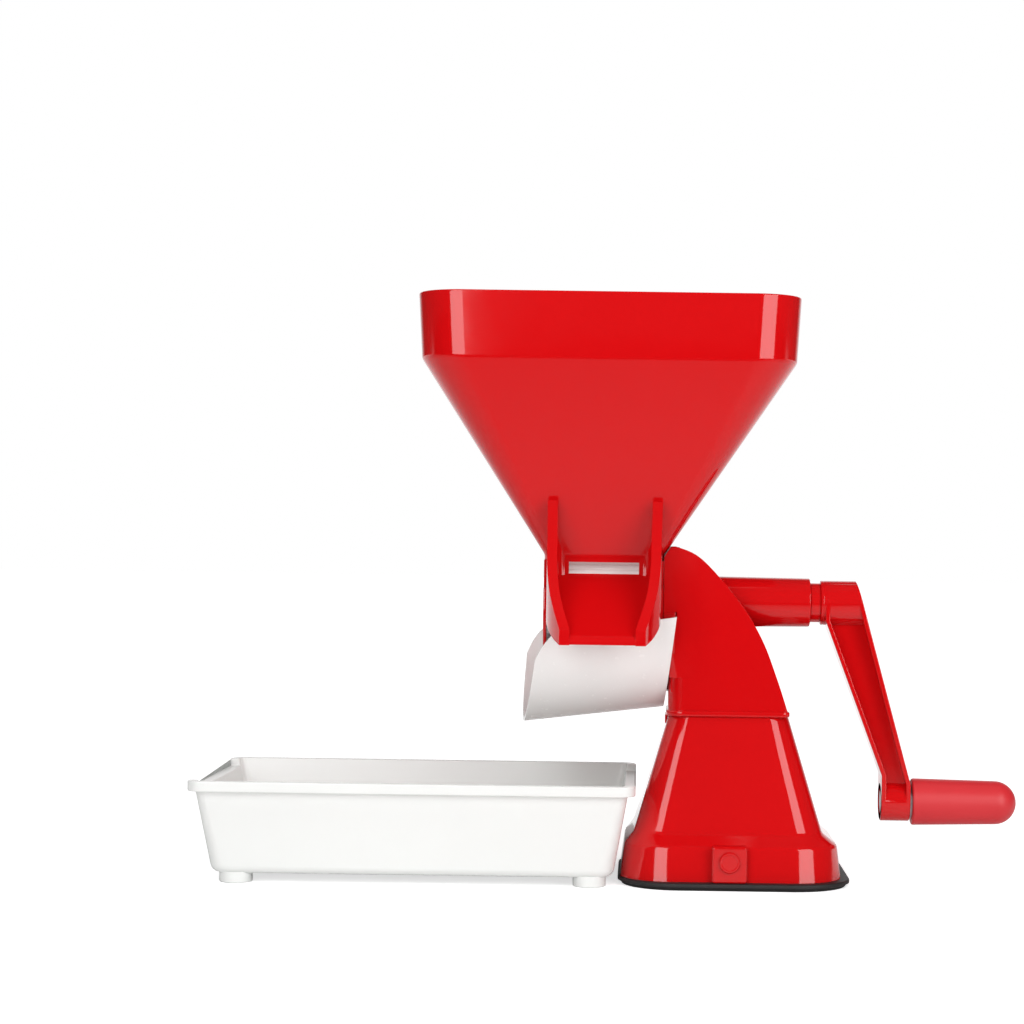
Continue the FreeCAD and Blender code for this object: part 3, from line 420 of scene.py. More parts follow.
def rolled_steel():
    """Stainless sheet: bright, with the fine lines of the rolls along the axle."""
    material, shader, place = finish("rolled_stainless_steel", Metallic=1.0)
    stretched = add_node(material, "Mapping", {"Vector": place}, Scale=(0.04, 1, 1))
    # Roll lines are some hundredths of a millimetre wide, and are drawn at half a millimetre.
    lines = waves(material, stretched.outputs["Vector"], 0.5, Detail=2.0)
    tint(material, shader, lines, "#B4B6B8", "#CFD0D1")
    roughen(material, shader, lines, 0.2, 0.34)
    relief(material, shader, lines, 0.01)
    return material


def zinc_plated_steel():
    """Turned steel under zinc: grey and slightly cloudy."""
    material, shader, place = finish("zinc_plated_steel", Metallic=1.0)
    cloud = waves(material, place, 2, Detail=3.0)
    tint(material, shader, cloud, "#9C9EA1", "#C2C3C5")
    roughen(material, shader, cloud, 0.26, 0.4)
    relief(material, shader, cloud, 0.01)
    return material


RED = polished_abs("polished_red_abs", "#C9090D", "#CD0B0F")
GRIP_RED = spark_eroded_abs("satin_red_abs", "#CB222A", "#D32A31")
WHITE = white_polypropylene("white_polypropylene", "#F5F5F3", "#F8F8F6", 0.24)
# Painted shade: the tray's copy of the white plastic is darker, to offset the stronger light that
# falls on it.
TRAY_WHITE_PAINTED_SHADE = white_polypropylene("tray_polypropylene_painted_shade", "#EAEBE9", "#EDEEEC", 0.22)
PESTLE_WHITE = natural_polyethylene()
RUBBER = moulded_rubber()
SHEET_STEEL = rolled_steel()
ROD_STEEL = zinc_plated_steel()


# ---------------- funnel, throat and chute
CLEAR = 0.15  # between neighbouring bodies
OVER = 1.0  # how far one shape runs into or past another
AXIS_Z = 164.6
AXLE = (0, 0, AXIS_Z)
RIM, RIM_HALF, RIM_CORNER = (-73.0, 23.9), (111.5, 91.5), 27.0
RIM_TOP = cad_bounds[1][2] / MM
BAND_BOTTOM, BAND_DRAFT = 304.5, 2.1
FUNNEL_WALL = 2.8
THROAT, THROAT_HALF, THROAT_CORNER = (-74.9, 14.0), (35.1, 45.0), 7.0
THROAT_TOP, THROAT_SKIRT, END_TOP = 191.4, 14.0, 188.4
THROAT_WALL, END_WALL, RIGHT_COLLAR = 3.0, 4.0, 1.6
THROAT_FRONT = THROAT[1] - THROAT_HALF[1]
THROAT_BACK = THROAT[1] + THROAT_HALF[1]
THROAT_LEFT, THROAT_RIGHT = THROAT[0] - THROAT_HALF[0], THROAT[0] + THROAT_HALF[0]
SLOT_LEFT, SLOT_RIGHT, SLOT_BOTTOM, SLOT_TOP = -95.4, -54.2, 180.5, 187.3
SCREEN_R, SCREEN_Z = 50.5, 160.0
SCREEN_TOP = SLOT_BOTTOM - 8.5
SCREEN_MIDDLE = (0, THROAT[1], SCREEN_Z)
LEDGE_REACH, LEDGE_T = 50.0, 3.0
CHUTE_WALL, CHUTE_FLOOR = 5.8, 4.5
CHUTE_LEFT, CHUTE_RIGHT = -108.2, -40.4
CHUTE_REACH, CHUTE_DROP, CHUTE_FILLET = 57.0, 39.9, 6.0
# How far each side of the chute draws in: distance out from the throat, and the amount.
CHUTE_DRAW = [(-1.0, 0.0), (14.0, 0.4), (26.5, 1.0), (34.5, 1.3), (43.0, 3.0), (51.0, 6.0),
              (57.0, 9.5)]
# Side view of a chute wall: distance out from the throat and height above the slot's floor.
CHUTE_CROWN = [(14.5, 42.5), (19.5, 33.5), (26.5, 20.0), (34.5, 5.0), (43.0, -9.0),
               (51.0, -20.5), (56.2, -29.4), (57.0, -31.4)]
CHUTE_UNDER = [(7.0, -9.5), (16.0, -17.0), (26.0, -24.5), (39.0, -30.3)]
CHUTE_ROOT_TOP, CHUTE_ROOT_LOW = (-1.0, 22.5), (-1.0, -4.0)


def funnel_shell():
    """Rim, upright band, slopes and the top of the throat."""
    inner = (THROAT_HALF[0] - END_WALL, THROAT_HALF[1] - THROAT_WALL)
    foot, inner_corner = THROAT_TOP - THROAT_SKIRT, THROAT_CORNER - THROAT_WALL
    rim_corner = RIM_CORNER - FUNNEL_WALL
    levels = [(THROAT, inner, 0, inner_corner, foot),
              (THROAT, THROAT_HALF, 0, THROAT_CORNER, foot),
              (THROAT, THROAT_HALF, 0, THROAT_CORNER, THROAT_TOP),
              (RIM, RIM_HALF, BAND_DRAFT, RIM_CORNER, BAND_BOTTOM),
              (RIM, RIM_HALF, 0, RIM_CORNER, RIM_TOP),
              (RIM, RIM_HALF, FUNNEL_WALL, rim_corner, RIM_TOP),
              (RIM, RIM_HALF, BAND_DRAFT + FUNNEL_WALL, rim_corner, BAND_BOTTOM),
              (THROAT, inner, 0, inner_corner, THROAT_TOP),
              (THROAT, inner, 0, inner_corner, foot)]
    shell = loft("hopper_moulding", levels, through=True)
    for z, radius in ((RIM_TOP, 1.0), (BAND_BOTTOM, 1.4), (THROAT_TOP, 1.2)):
        round_edges(shell, radius, 3, at(z=z))
    return shell


def end_outline(radius, x, top):
    """Outline across the throat: round below, square above."""
    start = math.degrees(math.asin((SCREEN_TOP - SCREEN_Z) / radius))
    points = [(THROAT_BACK, top), (THROAT_BACK, SCREEN_TOP)]
    points += arc(THROAT[1], SCREEN_Z, radius, start, -180 - start, 48)
    points += [(THROAT_FRONT, SCREEN_TOP), (THROAT_FRONT, top)]
    return [(x, y, z) for y, z in points]


def chute_plan(side, inset, low):
    """Points along one side of the chute's plan; side is -1 for the left and 1 for the right."""
    root = CHUTE_LEFT if side < 0 else CHUTE_RIGHT
    return [(root - side * (draw + inset), THROAT_FRONT - out, low)
            for out, draw in smooth_run(CHUTE_DRAW, 3)]


def chute_side(name, side):
    """One wall of the chute, bent in towards the lip, with its rim rounded over."""
    view = [CHUTE_ROOT_TOP] + smooth_run(CHUTE_CROWN, 3) + [(CHUTE_REACH, -CHUTE_DROP)]
    view += CHUTE_UNDER[::-1] + [CHUTE_ROOT_LOW]
    width = 2 * (CHUTE_WALL + CHUTE_DRAW[-1][1])
    x = CHUTE_LEFT - OVER if side < 0 else CHUTE_RIGHT - width + OVER
    wall = plate(name, [(x, THROAT_FRONT - out, SLOT_BOTTOM + up) for out, up in view],
                 (width, 0, 0))
    low = SLOT_BOTTOM - CHUTE_DROP - OVER
    plan = plate("plan", chute_plan(side, 0, low) + chute_plan(side, CHUTE_WALL, low)[::-1],
                 (0, 0, CHUTE_DROP + CHUTE_CROWN[0][1] + 2 * OVER))
    carve(wall, plan, "INTERSECT")
    soften(wall, 2.2, 4, angle=60)
    return wall


def chute_bottom():
    """Sloping floor between the walls, rounded over at the lip."""
    half, low = CHUTE_WALL / 2, SLOT_BOTTOM - CHUTE_DROP + CHUTE_FLOOR
    root_y, lip_y = THROAT_FRONT + OVER, THROAT_FRONT - CHUTE_REACH
    side = [(root_y, SLOT_BOTTOM), (lip_y, low), (lip_y, low - CHUTE_FLOOR),
            (root_y, SLOT_BOTTOM - CHUTE_FLOOR)]
    floor = plate("chute_floor", [(CHUTE_LEFT, y, z) for y, z in side],
                  (CHUTE_RIGHT - CHUTE_LEFT, 0, 0))
    for radius, z in ((2.6, low), (0.8, low - CHUTE_FLOOR)):
        round_edges(floor, radius, 5, at(y=lip_y, z=z))
    under = SLOT_BOTTOM - CHUTE_DROP - OVER
    plan = plate("plan", chute_plan(-1, half, under) + chute_plan(1, half, under)[::-1],
                 (0, 0, CHUTE_DROP + 10 * OVER))
    carve(floor, plan, "INTERSECT")
    return floor


def chute_fillet(name, side):
    """Quarter-round between a chute wall's inner face and the throat's front wall."""
    sunk = OVER / 2
    root = (CHUTE_LEFT if side < 0 else CHUTE_RIGHT) - side * (CHUTE_WALL - sunk)
    low, high, reach = SLOT_BOTTOM - 3, THROAT_TOP + 16, CHUTE_FILLET + sunk
    points = [(root, THROAT_FRONT + sunk), (root - side * reach, THROAT_FRONT + sunk)]
    points += arc(root - side * reach, THROAT_FRONT - reach, reach, 90, 90 - 90 * side, 8)
    return plate(name, [(x, y, low) for x, y in points], (0, 0, high - low))


def build_hopper():
    """Funnel, throat, slot and chute as one moulding."""
    hopper = funnel_shell()
    seat = SCREEN_R - 0.95
    left, right = THROAT_LEFT + OVER, THROAT_RIGHT - OVER
    left_end = plate("left_end", end_outline(seat, THROAT_LEFT, END_TOP), (END_WALL, 0, 0))
    right_end = plate("right_end", end_outline(seat, THROAT_RIGHT - END_WALL, END_TOP),
                      (END_WALL, 0, 0))
    collar = plate("collar", end_outline(SCREEN_R + 1, THROAT_LEFT, END_TOP),
                   (END_WALL / 2, 0, 0))
    soften(collar, 0.5, 2)
    right_collar = rod("right_collar", THROAT_RIGHT - RIGHT_COLLAR, THROAT_RIGHT,
                       SCREEN_R + 0.6, SCREEN_MIDDLE, sides=96, bore=SCREEN_R - 2)
    carve(right_collar, block("above_screen", (THROAT_RIGHT - 9, THROAT_FRONT - 30, SCREEN_TOP),
                              (THROAT_RIGHT + OVER, THROAT_BACK + 30, THROAT_TOP + 30)))
    back = block("back_wall", (left, THROAT_BACK - THROAT_WALL, SCREEN_TOP + CLEAR),
                 (right, THROAT_BACK, END_TOP))
    front = block("front_wall", (left, THROAT_FRONT, SLOT_BOTTOM - CHUTE_FLOOR),
                  (right, THROAT_FRONT + THROAT_WALL, END_TOP))
    ledge = block("ledge", (THROAT_LEFT, THROAT_BACK - THROAT_WALL, SCREEN_TOP + CLEAR),
                  (THROAT_RIGHT, THROAT[1] + LEDGE_REACH, SCREEN_TOP + CLEAR + LEDGE_T))
    add(hopper, left_end, right_end, collar, right_collar, back, front, ledge, chute_bottom(),
        chute_side("chute_left", -1), chute_side("chute_right", 1),
        chute_fillet("left_fillet", -1), chute_fillet("right_fillet", 1))
    slot = block("slot", (SLOT_LEFT, THROAT_FRONT - 2 * OVER, SLOT_BOTTOM),
                 (SLOT_RIGHT, THROAT_FRONT + THROAT_WALL + OVER, SLOT_TOP))
    carve(hopper, slot)
    return hopper


# ---------------- suction base
PAD_MIDDLE, PAD_HALF, PAD_CORNER = (3.6, 0.0), (67.9, 67.5), 35.0
PAD_TOP, PAD_UNDERCUT, PAD_RIM = 4.5, 2.5, 7.5
POCKET_R, POCKET_LOW = 24.0, 2.2
FLANGE_MIDDLE, FLANGE_HALF, FLANGE_FLARE = (1.7, 0.0), (62.3, 58.6), 2.4
FLANGE_CORNER, FLANGE_TOP = 27.0, 23.9
FOOT_HALF, FOOT_CORNER, FOOT_Z = (55.1, 50.6), 17.0, 31.0
WAIST_HALF, WAIST_CORNER, WAIST_Z = (35.5, 27.0), 12.5, 97.2
PEDESTAL_WALL, DECK = 3.0, 4.0
CAM_MIDDLE = (0, 0, 16.5)
AXLE_BORE_R, HUB_BOSS_R, HUB_BOSS_BACK = 4.1, 9.0, 65.7
TAB_HALF, TAB_FRONT, TAB_TOP = 10.0, -66.0, 25.5
CAP_R, CAP_T, CAP_DISH_R, CAP_DISH = 6.0, 2.0, 4.3, 0.35
MIDDLE_LINE = (0.0, 0.0)


def build_pad():
    """Rubber foot: drawn in towards the table, with a round lip at its top edge."""
    low, waist = PAD_TOP * 0.4, 1.5
    levels = [(PAD_MIDDLE, PAD_HALF, inset, PAD_CORNER - inset, z)
              for inset, z in ((PAD_UNDERCUT, 0), (waist, low), (0, low + 0.5), (0, PAD_TOP),
                               (PAD_RIM, PAD_TOP))]
    pad = loft("suction_pad_moulding", levels)
    round_edges(pad, 0.9, 3, lambda edge: at(z=PAD_TOP)(edge)
                and abs(edge.verts[0].co.x) + abs(edge.verts[0].co.y) > PAD_HALF[1] - 6
                and any(face.normal.z < 0.5 for face in edge.link_faces))
    round_edges(pad, 0.5, 2, at(z=0))
    carve(pad, rod("pocket", POCKET_LOW, PAD_TOP + OVER, POCKET_R, (0, 0, 0), "Z", 48))
    return pad


def build_pedestal():
    """Hollow pedestal: flange, shoulder and slopes, with the axle's boss on its front."""
    wall, flare = PEDESTAL_WALL, FLANGE_FLARE
    levels = [(MIDDLE_LINE, WAIST_HALF, wall, WAIST_CORNER - wall, WAIST_Z - DECK),
              (MIDDLE_LINE, FOOT_HALF, wall, FOOT_CORNER - wall, FOOT_Z),
              (FLANGE_MIDDLE, FLANGE_HALF, wall, FLANGE_CORNER - wall, FLANGE_TOP),
              (FLANGE_MIDDLE, FLANGE_HALF, wall - flare, FLANGE_CORNER + flare - wall, PAD_TOP),
              (FLANGE_MIDDLE, FLANGE_HALF, -flare, FLANGE_CORNER + flare, PAD_TOP),
              (FLANGE_MIDDLE, FLANGE_HALF, 0, FLANGE_CORNER, FLANGE_TOP),
              (MIDDLE_LINE, FOOT_HALF, 0, FOOT_CORNER, FOOT_Z),
              (MIDDLE_LINE, WAIST_HALF, 0, WAIST_CORNER, WAIST_Z)]
    pedestal = loft("pedestal_moulding", levels)
    round_edges(pedestal, 1.3, 3, lambda edge: at(z=FLANGE_TOP)(edge)
                and any(0 < face.normal.z < 0.2 for face in edge.link_faces))
    round_edges(pedestal, 1.4, 3, lambda edge: at(z=FOOT_Z)(edge)
                and any(face.normal.z > 0.6 for face in edge.link_faces))
    round_edges(pedestal, 0.6, 2, at(z=WAIST_Z))
    tab = block("front_tab", (-TAB_HALF, TAB_FRONT, PAD_TOP),
                (TAB_HALF, -FLANGE_HALF[1] + wall, TAB_TOP))
    soften(tab, 1.4, 3)
    boss = rod("back_boss", FLANGE_HALF[1] - wall, HUB_BOSS_BACK, HUB_BOSS_R, CAM_MIDDLE, "Y", 48)
    soften(boss, 0.5, 2, 60)
    add(pedestal, tab, boss)
    carve(pedestal, rod("axle_bore", -70, 70, AXLE_BORE_R, CAM_MIDDLE, "Y", 32))
    return pedestal


def build_cap():
    """Round boss over the front end of the cam axle, with a shallow dished face."""
    back = TAB_FRONT - CLEAR
    front = back - CAP_T
    profile = [(back, 0), (back, CAP_R), (front + 0.5, CAP_R), (front, CAP_R - 0.5),
               (front, CAP_DISH_R + 0.4), (front + CAP_DISH, CAP_DISH_R), (front + CAP_DISH, 0)]
    return turned("axle_cap_moulding", profile, CAM_MIDDLE, "Y", 48)


LEVER_Y, LEVER_T, LEVER_REACH, LEVER_RISE = 66.0, 7.0, 57.0, 13.0
LEVER_NECK, LEVER_HEAD, LEVER_CHAMFER = 5.5, 7.5, 3.0
LEVER_HUB_R, LEVER_BORE_R, LEVER_PIN_R = 9.0, 4.0, 1.25


def build_lever():
    """Lever on the back of the base: hub, neck and a flared head with chamfered corners."""
    start, wide, end = LEVER_REACH - 16.0, LEVER_REACH - 11.0, LEVER_REACH
    shoulder = LEVER_HEAD - LEVER_CHAMFER
    lower = [(0, -LEVER_NECK), (start, -LEVER_NECK), (wide, -LEVER_HEAD),
             (end - LEVER_CHAMFER, -LEVER_HEAD), (end, -shoulder)]
    side = lower + [(x, -z) for x, z in lower[::-1]]
    middle_z, back = CAM_MIDDLE[2], LEVER_Y + LEVER_T
    lever = plate("suction_lever_moulding", [(x, LEVER_Y, middle_z + z) for x, z in side],
                  (0, LEVER_T, 0))
    soften(lever, 1.3, 3)
    hub = rod("hub", LEVER_Y, back, LEVER_HUB_R, CAM_MIDDLE, "Y", 48)
    soften(hub, 1.0, 3, 60)
    add(lever, hub)
    turn(lever, -LEVER_RISE, "Y", CAM_MIDDLE)
    carve(lever, rod("bore", 60, 80, LEVER_BORE_R, CAM_MIDDLE, "Y", 32))
    carve(lever, rod("pin_hole", -12, 12, LEVER_PIN_R, (0, LEVER_Y + LEVER_T / 2, middle_z),
                     "X", 16))
    return lever


# ---------------- upper body
CHEEK_Y, CHEEK_T, CHEEK_TOP, CHEEK_RIGHT = 28.0, 3.0, 197.2, 34.6
BODY_LEFT, BODY_CORNER, BODY_RIGHT_CORNER, BODY_FLOOR = -36.0, 9.0, 3.0, WAIST_Z + 3.0
CHEEK_START = BODY_LEFT + 3.4
# Crown of the cheeks: share of the run to the right, share of the drop to the floor.
CHEEK_CROWN = [(0.0, 0.0), (0.231, 0.076), (0.563, 0.332), (0.766, 0.559), (0.903, 0.799),
               (1.0, 1.0)]
BEAD, BEAD_HEIGHT = 1.2, 3.3
BOSS_RIGHT = -32.5
FAIRING_RIGHT, FAIRING_LOW = -18.0, 120.0
TUBE_R_LEFT, TUBE_R_RIGHT, TUBE_RIGHT, TUBE_BORE = 15.3, 14.5, 48.3, 9.5
SLOPE = math.tan(math.radians(6.8))
APRON_R = SCREEN_R + 7.0
APRON_BOTTOM = SCREEN_Z - SCREEN_R - 8.6
APRON_RIGHT, APRON_LEFT, APRON_RIM, APRON_WALL = -38.4, -123.3, 158.4, 2.4


def cheek_outline(y):
    """Side view of the upper body, with its arched crown on the right."""
    run = CHEEK_RIGHT - CHEEK_START
    crown = [(CHEEK_START + share * run, y, CHEEK_TOP - drop * (CHEEK_TOP - BODY_FLOOR))
             for share, drop in smooth_run(CHEEK_CROWN)]
    return crown + [(CHEEK_RIGHT, y, WAIST_Z), (BODY_LEFT, y, WAIST_Z), (BODY_LEFT, y, CHEEK_TOP)]


def upright_block(name, low, high, corner, right_corner):
    """Box whose upright edges are rounded, the two at the right with their own radius."""
    piece = block(name, low, high)
    for x, radius in ((low[0], corner), (high[0], right_corner)):
        round_edges(piece, radius, 8, lambda edge: at(x=x)(edge)
                    and abs(edge.verts[0].co.y - edge.verts[1].co.y) < 0.01)
    return piece


def fairing():
    """Thin wedge that carries the front cheek's face on to the screen's end boss."""
    left, inner = THROAT_RIGHT + CLEAR, CHEEK_T / 2 - CHEEK_Y
    sections = [(FAIRING_LOW, -CHEEK_Y - CLEAR, BODY_CORNER),
                (APRON_RIM + CLEAR, THROAT_FRONT, 0.8), (CHEEK_TOP - 2.2, THROAT_FRONT, 0.5),
                (CHEEK_TOP - 0.6, THROAT_FRONT + 0.7, 0.5),
                (CHEEK_TOP, THROAT_FRONT + 2.2, 0.5)]
    outlines = []
    for z, front, corner in sections:
        depth = min(corner, inner - front - 0.3)
        reach = math.degrees(math.acos(1 - depth / corner))
        edge = arc(left + corner, front + corner, corner, 270 - reach, 270, 6)
        points = [(edge[0][0], inner), *edge, (FAIRING_RIGHT, max(front, -CHEEK_Y)),
                  (FAIRING_RIGHT, inner)]
        outlines.append([Vector((*point, z)) for point in points])
    wedge = skin("fairing", outlines)
    carve(wedge, leaning_block("apron_room", CLEAR))
    y = THROAT_FRONT - OVER
    view = cheek_outline(y)[:-2] + [(left - OVER, y, WAIST_Z)]
    view += [(left + across, y, CHEEK_TOP - down)
             for across, down in ((-OVER, 9.5), (0.5, 6.0), (2.6, 2.6), (5.4, 0))]
    carve(wedge, plate("view", view, (0, CHEEK_T + 9, 0)), "INTERSECT")
    return wedge


def build_upper_body():
    """Two cheeks on a floor, the bearing tube between them and the screen's end boss."""
    body = plate("upper_body_moulding", cheek_outline(-CHEEK_Y), (0, 2 * CHEEK_Y, 0))
    corners = upright_block("corners", (BODY_LEFT, -CHEEK_Y, WAIST_Z - OVER),
                            (CHEEK_RIGHT, CHEEK_Y, CHEEK_TOP + OVER), BODY_CORNER,
                            BODY_RIGHT_CORNER)
    carve(body, corners, "INTERSECT")
    soften(body, 1.9, 4, 50)
    half = CHEEK_Y - CHEEK_T
    carve(body, upright_block("hollow", (BODY_LEFT + CHEEK_T, -half, BODY_FLOOR),
                              (CHEEK_RIGHT + 20, half, CHEEK_TOP + 5), BODY_CORNER - CHEEK_T, 1))
    low, far, deep = 40, -150, 60
    x0, x1 = [APRON_RIGHT + CLEAR + (z - APRON_BOTTOM) * SLOPE for z in (low, APRON_RIM)]
    lean = [(far, low), (x0, low), (x1, APRON_RIM), (far, APRON_RIM)]
    carve(body, plate("lean", [(x, -deep, z) for x, z in lean], (0, 160, 0)))
    boss_left, boss_top = THROAT_RIGHT + CLEAR, CHEEK_TOP - 0.4
    boss = plate("end_boss", end_outline(SCREEN_R, boss_left, boss_top),
                 (BOSS_RIGHT - boss_left, 0, 0))
    carve(boss, block("boss_front", (boss_left - OVER, -deep, APRON_RIM + CLEAR),
                      (BOSS_RIGHT + OVER, THROAT_FRONT + 2.5, CHEEK_TOP)))
    soften(boss, 0.5, 2, 60)
    link = block("link", (BOSS_RIGHT - 2, -half, SCREEN_Z - SCREEN_R + 2),
                 (BOSS_RIGHT + 2, half, boss_top))
    tube = turned("bearing_tube", [(BOSS_RIGHT, 0), (BOSS_RIGHT, TUBE_R_LEFT),
                                   (TUBE_RIGHT, TUBE_R_RIGHT), (TUBE_RIGHT, 0)],
                  AXLE, "X", 72)
    tube_end = Vector((TUBE_RIGHT, 0, AXIS_Z))
    round_edges(tube, 0.8, 3, lambda edge: at(x=TUBE_RIGHT)(edge) and all(
        (vertex.co - tube_end).length > TUBE_BORE for vertex in edge.verts))
    web = [(BOSS_RIGHT, BODY_FLOOR), (12, BODY_FLOOR), (2, AXIS_Z), (BOSS_RIGHT, AXIS_Z)]
    web = plate("web", [(x, -CHEEK_T / 2, z) for x, z in web], (0, CHEEK_T, 0))
    bead_low = WAIST_Z + CLEAR
    bead = upright_block("bead", (BODY_LEFT - BEAD, -CHEEK_Y - BEAD, bead_low),
                         (CHEEK_RIGHT + BEAD, CHEEK_Y + BEAD, bead_low + BEAD_HEIGHT),
                         BODY_CORNER + BEAD, BODY_RIGHT_CORNER + BEAD)
    soften(bead, 1.0, 4, 60)
    add(body, fairing(), boss, link, tube, web, bead)
    room = [(THROAT_LEFT, THROAT_TOP), (THROAT_RIGHT + 2 * CLEAR, THROAT_TOP),
            (36.7, BAND_BOTTOM), (THROAT_LEFT, BAND_BOTTOM)]
    carve(body, plate("funnel_room", [(x, -45, z) for x, z in room], (0, 150, 0)))
    carve(body, rod("tube_bore", -60, 60, TUBE_BORE, AXLE, "X", 48))
    return body


# ---------------- juice apron
# Left end of the apron in side view: distance in from the tip, and below the rim.
SPOUT = [(14.9, 4.0), (11.9, 6.9), (9.4, 10.2), (6.6, 14.7), (4.2, 20.0), (-0.7, 69.0)]
SPOUT_SKEW = 0.09  # the spout's cut leans to the back


def sloped_rod(name, radius, x0, x1):
    """Cylinder along the trough's sloping axis."""
    start, end = [Vector((x, THROAT[1], APRON_BOTTOM + APRON_R + (x - APRON_RIGHT) * SLOPE))
                  for x in (x0, x1)]
    along = (end - start).normalized()
    up = along.cross(Vector((0, 1, 0)))
    circle = [start + y * Vector((0, 1, 0)) + z * up
              for y, z in arc(0, 0, radius, 0, 360, 120)[:-1]]
    return plate(name, circle, end - start)


def leaning_block(name, clear):
    """Everything left of the apron's right end, which leans square to its slope."""
    low, high = APRON_BOTTOM - APRON_R, APRON_RIM + max(clear, 0)
    x0, x1 = [APRON_RIGHT + clear + (z - APRON_BOTTOM) * SLOPE for z in (low, high)]
    far = APRON_LEFT - APRON_R
    y0 = THROAT[1] - 2 * APRON_R
    return plate(name, [(far, y0, low), (x0, y0, low), (x1, y0, high), (far, y0, high)],
                 (0, 4 * APRON_R, 0))


def build_apron():
    """Sloping half-round trough, closed at the right and open at the left."""
    far_left, far_right = APRON_LEFT - APRON_R, APRON_RIGHT + APRON_R
    apron = sloped_rod("juice_apron_moulding", APRON_R, far_left, far_right)
    carve(apron, leaning_block("right_end", 0), "INTERSECT")
    rim_end = APRON_RIGHT + (APRON_RIM - APRON_BOTTOM) * SLOPE
    shoulder = APRON_LEFT + SPOUT[0][0]
    rim_left = APRON_RIM + (shoulder - rim_end) * SLOPE
    rim_right = APRON_RIM + (far_right - rim_end) * SLOPE
    side = [(APRON_LEFT + along, rim_left - below) for along, below in smooth_run(SPOUT[:-1], 3)]
    side.append((APRON_LEFT + SPOUT[-1][0], rim_left - SPOUT[-1][1]))
    half = APRON_R + OVER
    skew = SPOUT_SKEW * half
    view = [(far_right, rim_right)] + side + [(far_right, side[-1][1])]
    keep_part = plate("keep_part", [(x + skew, THROAT[1] - half, z) for x, z in view],
                      (-2 * skew, 2 * half, 0))
    carve(apron, keep_part, "INTERSECT")
    hollow = sloped_rod("hollow", APRON_R - APRON_WALL, far_left - OVER, far_right + OVER)
    carve(hollow, leaning_block("inner_end", -APRON_WALL), "INTERSECT")
    carve(apron, hollow)
    carve(apron, rod("notch", THROAT_RIGHT - END_WALL, far_right, SCREEN_R + 2 * CLEAR,
                     SCREEN_MIDDLE, "X", 96))
    soften(apron, 0.5, 2, 40)
    return apron


# ---------------- crank
COLLAR_RIGHT, COLLAR_R = 54.4, 11.8
HUB_R, HUB_RIGHT, HUB_POCKET_R, HUB_POCKET = 13.25, 78.9, 7.0, 9.5
GRIP_Z = AXIS_Z - 118.4
GRIP_MIDDLE = (0, 0, GRIP_Z)
BOSS_R, BOSS_LEFT, BOSS_END = 11.6, 92.0, 109.4
ARM_FLANGE, ARM_WEB = 2.8, 6.0
ARM_INNER, ARM_OUTER = COLLAR_RIGHT + 2.8, HUB_RIGHT + 0.7
ARM_HUB_BEND, ARM_BOSS_BEND, ARM_OUTER_BEND = AXIS_Z - 10.4, GRIP_Z + 16.2, GRIP_Z + 10.8
SHAFT_R, SCREW_R, PIN_R, PIN_HEAD_R = 6.0, 2.65, 4.0, 7.15
RING, GROOVE = 1.8, 0.35  # the groove round the hub
MARK_R, MARK_WIDTH, MARK_DEPTH = 4.4, 0.4, 0.15


def build_collar():
    """Neck between the bearing tube and the crank's hub."""
    left, edge = TUBE_RIGHT + CLEAR, 0.3
    profile = [(left, SHAFT_R), (left, COLLAR_R - edge), (left + edge, COLLAR_R),
               (COLLAR_RIGHT - edge, COLLAR_R), (COLLAR_RIGHT, COLLAR_R - edge),
               (COLLAR_RIGHT, SHAFT_R)]
    return turned("thrust_collar_moulding", profile, AXLE, "X", 72)


def arm_outline():
    """The arm as seen along the axle: two rounds joined by straight sides."""
    view = arc(0, AXIS_Z, HUB_R, 0, 180, 36) + arc(0, GRIP_Z, BOSS_R, 180, 360, 36)
    return plate("arm_outline", [(COLLAR_RIGHT, y, z) for y, z in view],
                 (BOSS_END - COLLAR_RIGHT, 0, 0))


def arm_plate(name, face, thickness):
    """Plate across the arm, to the right of a face that is a line of (x, z) points."""
    y = HUB_R + OVER
    points = [(x, -y, z) for x, z in face] + [(x + thickness, -y, z) for x, z in face[::-1]]
    return plate(name, points, (0, 2 * y, 0))


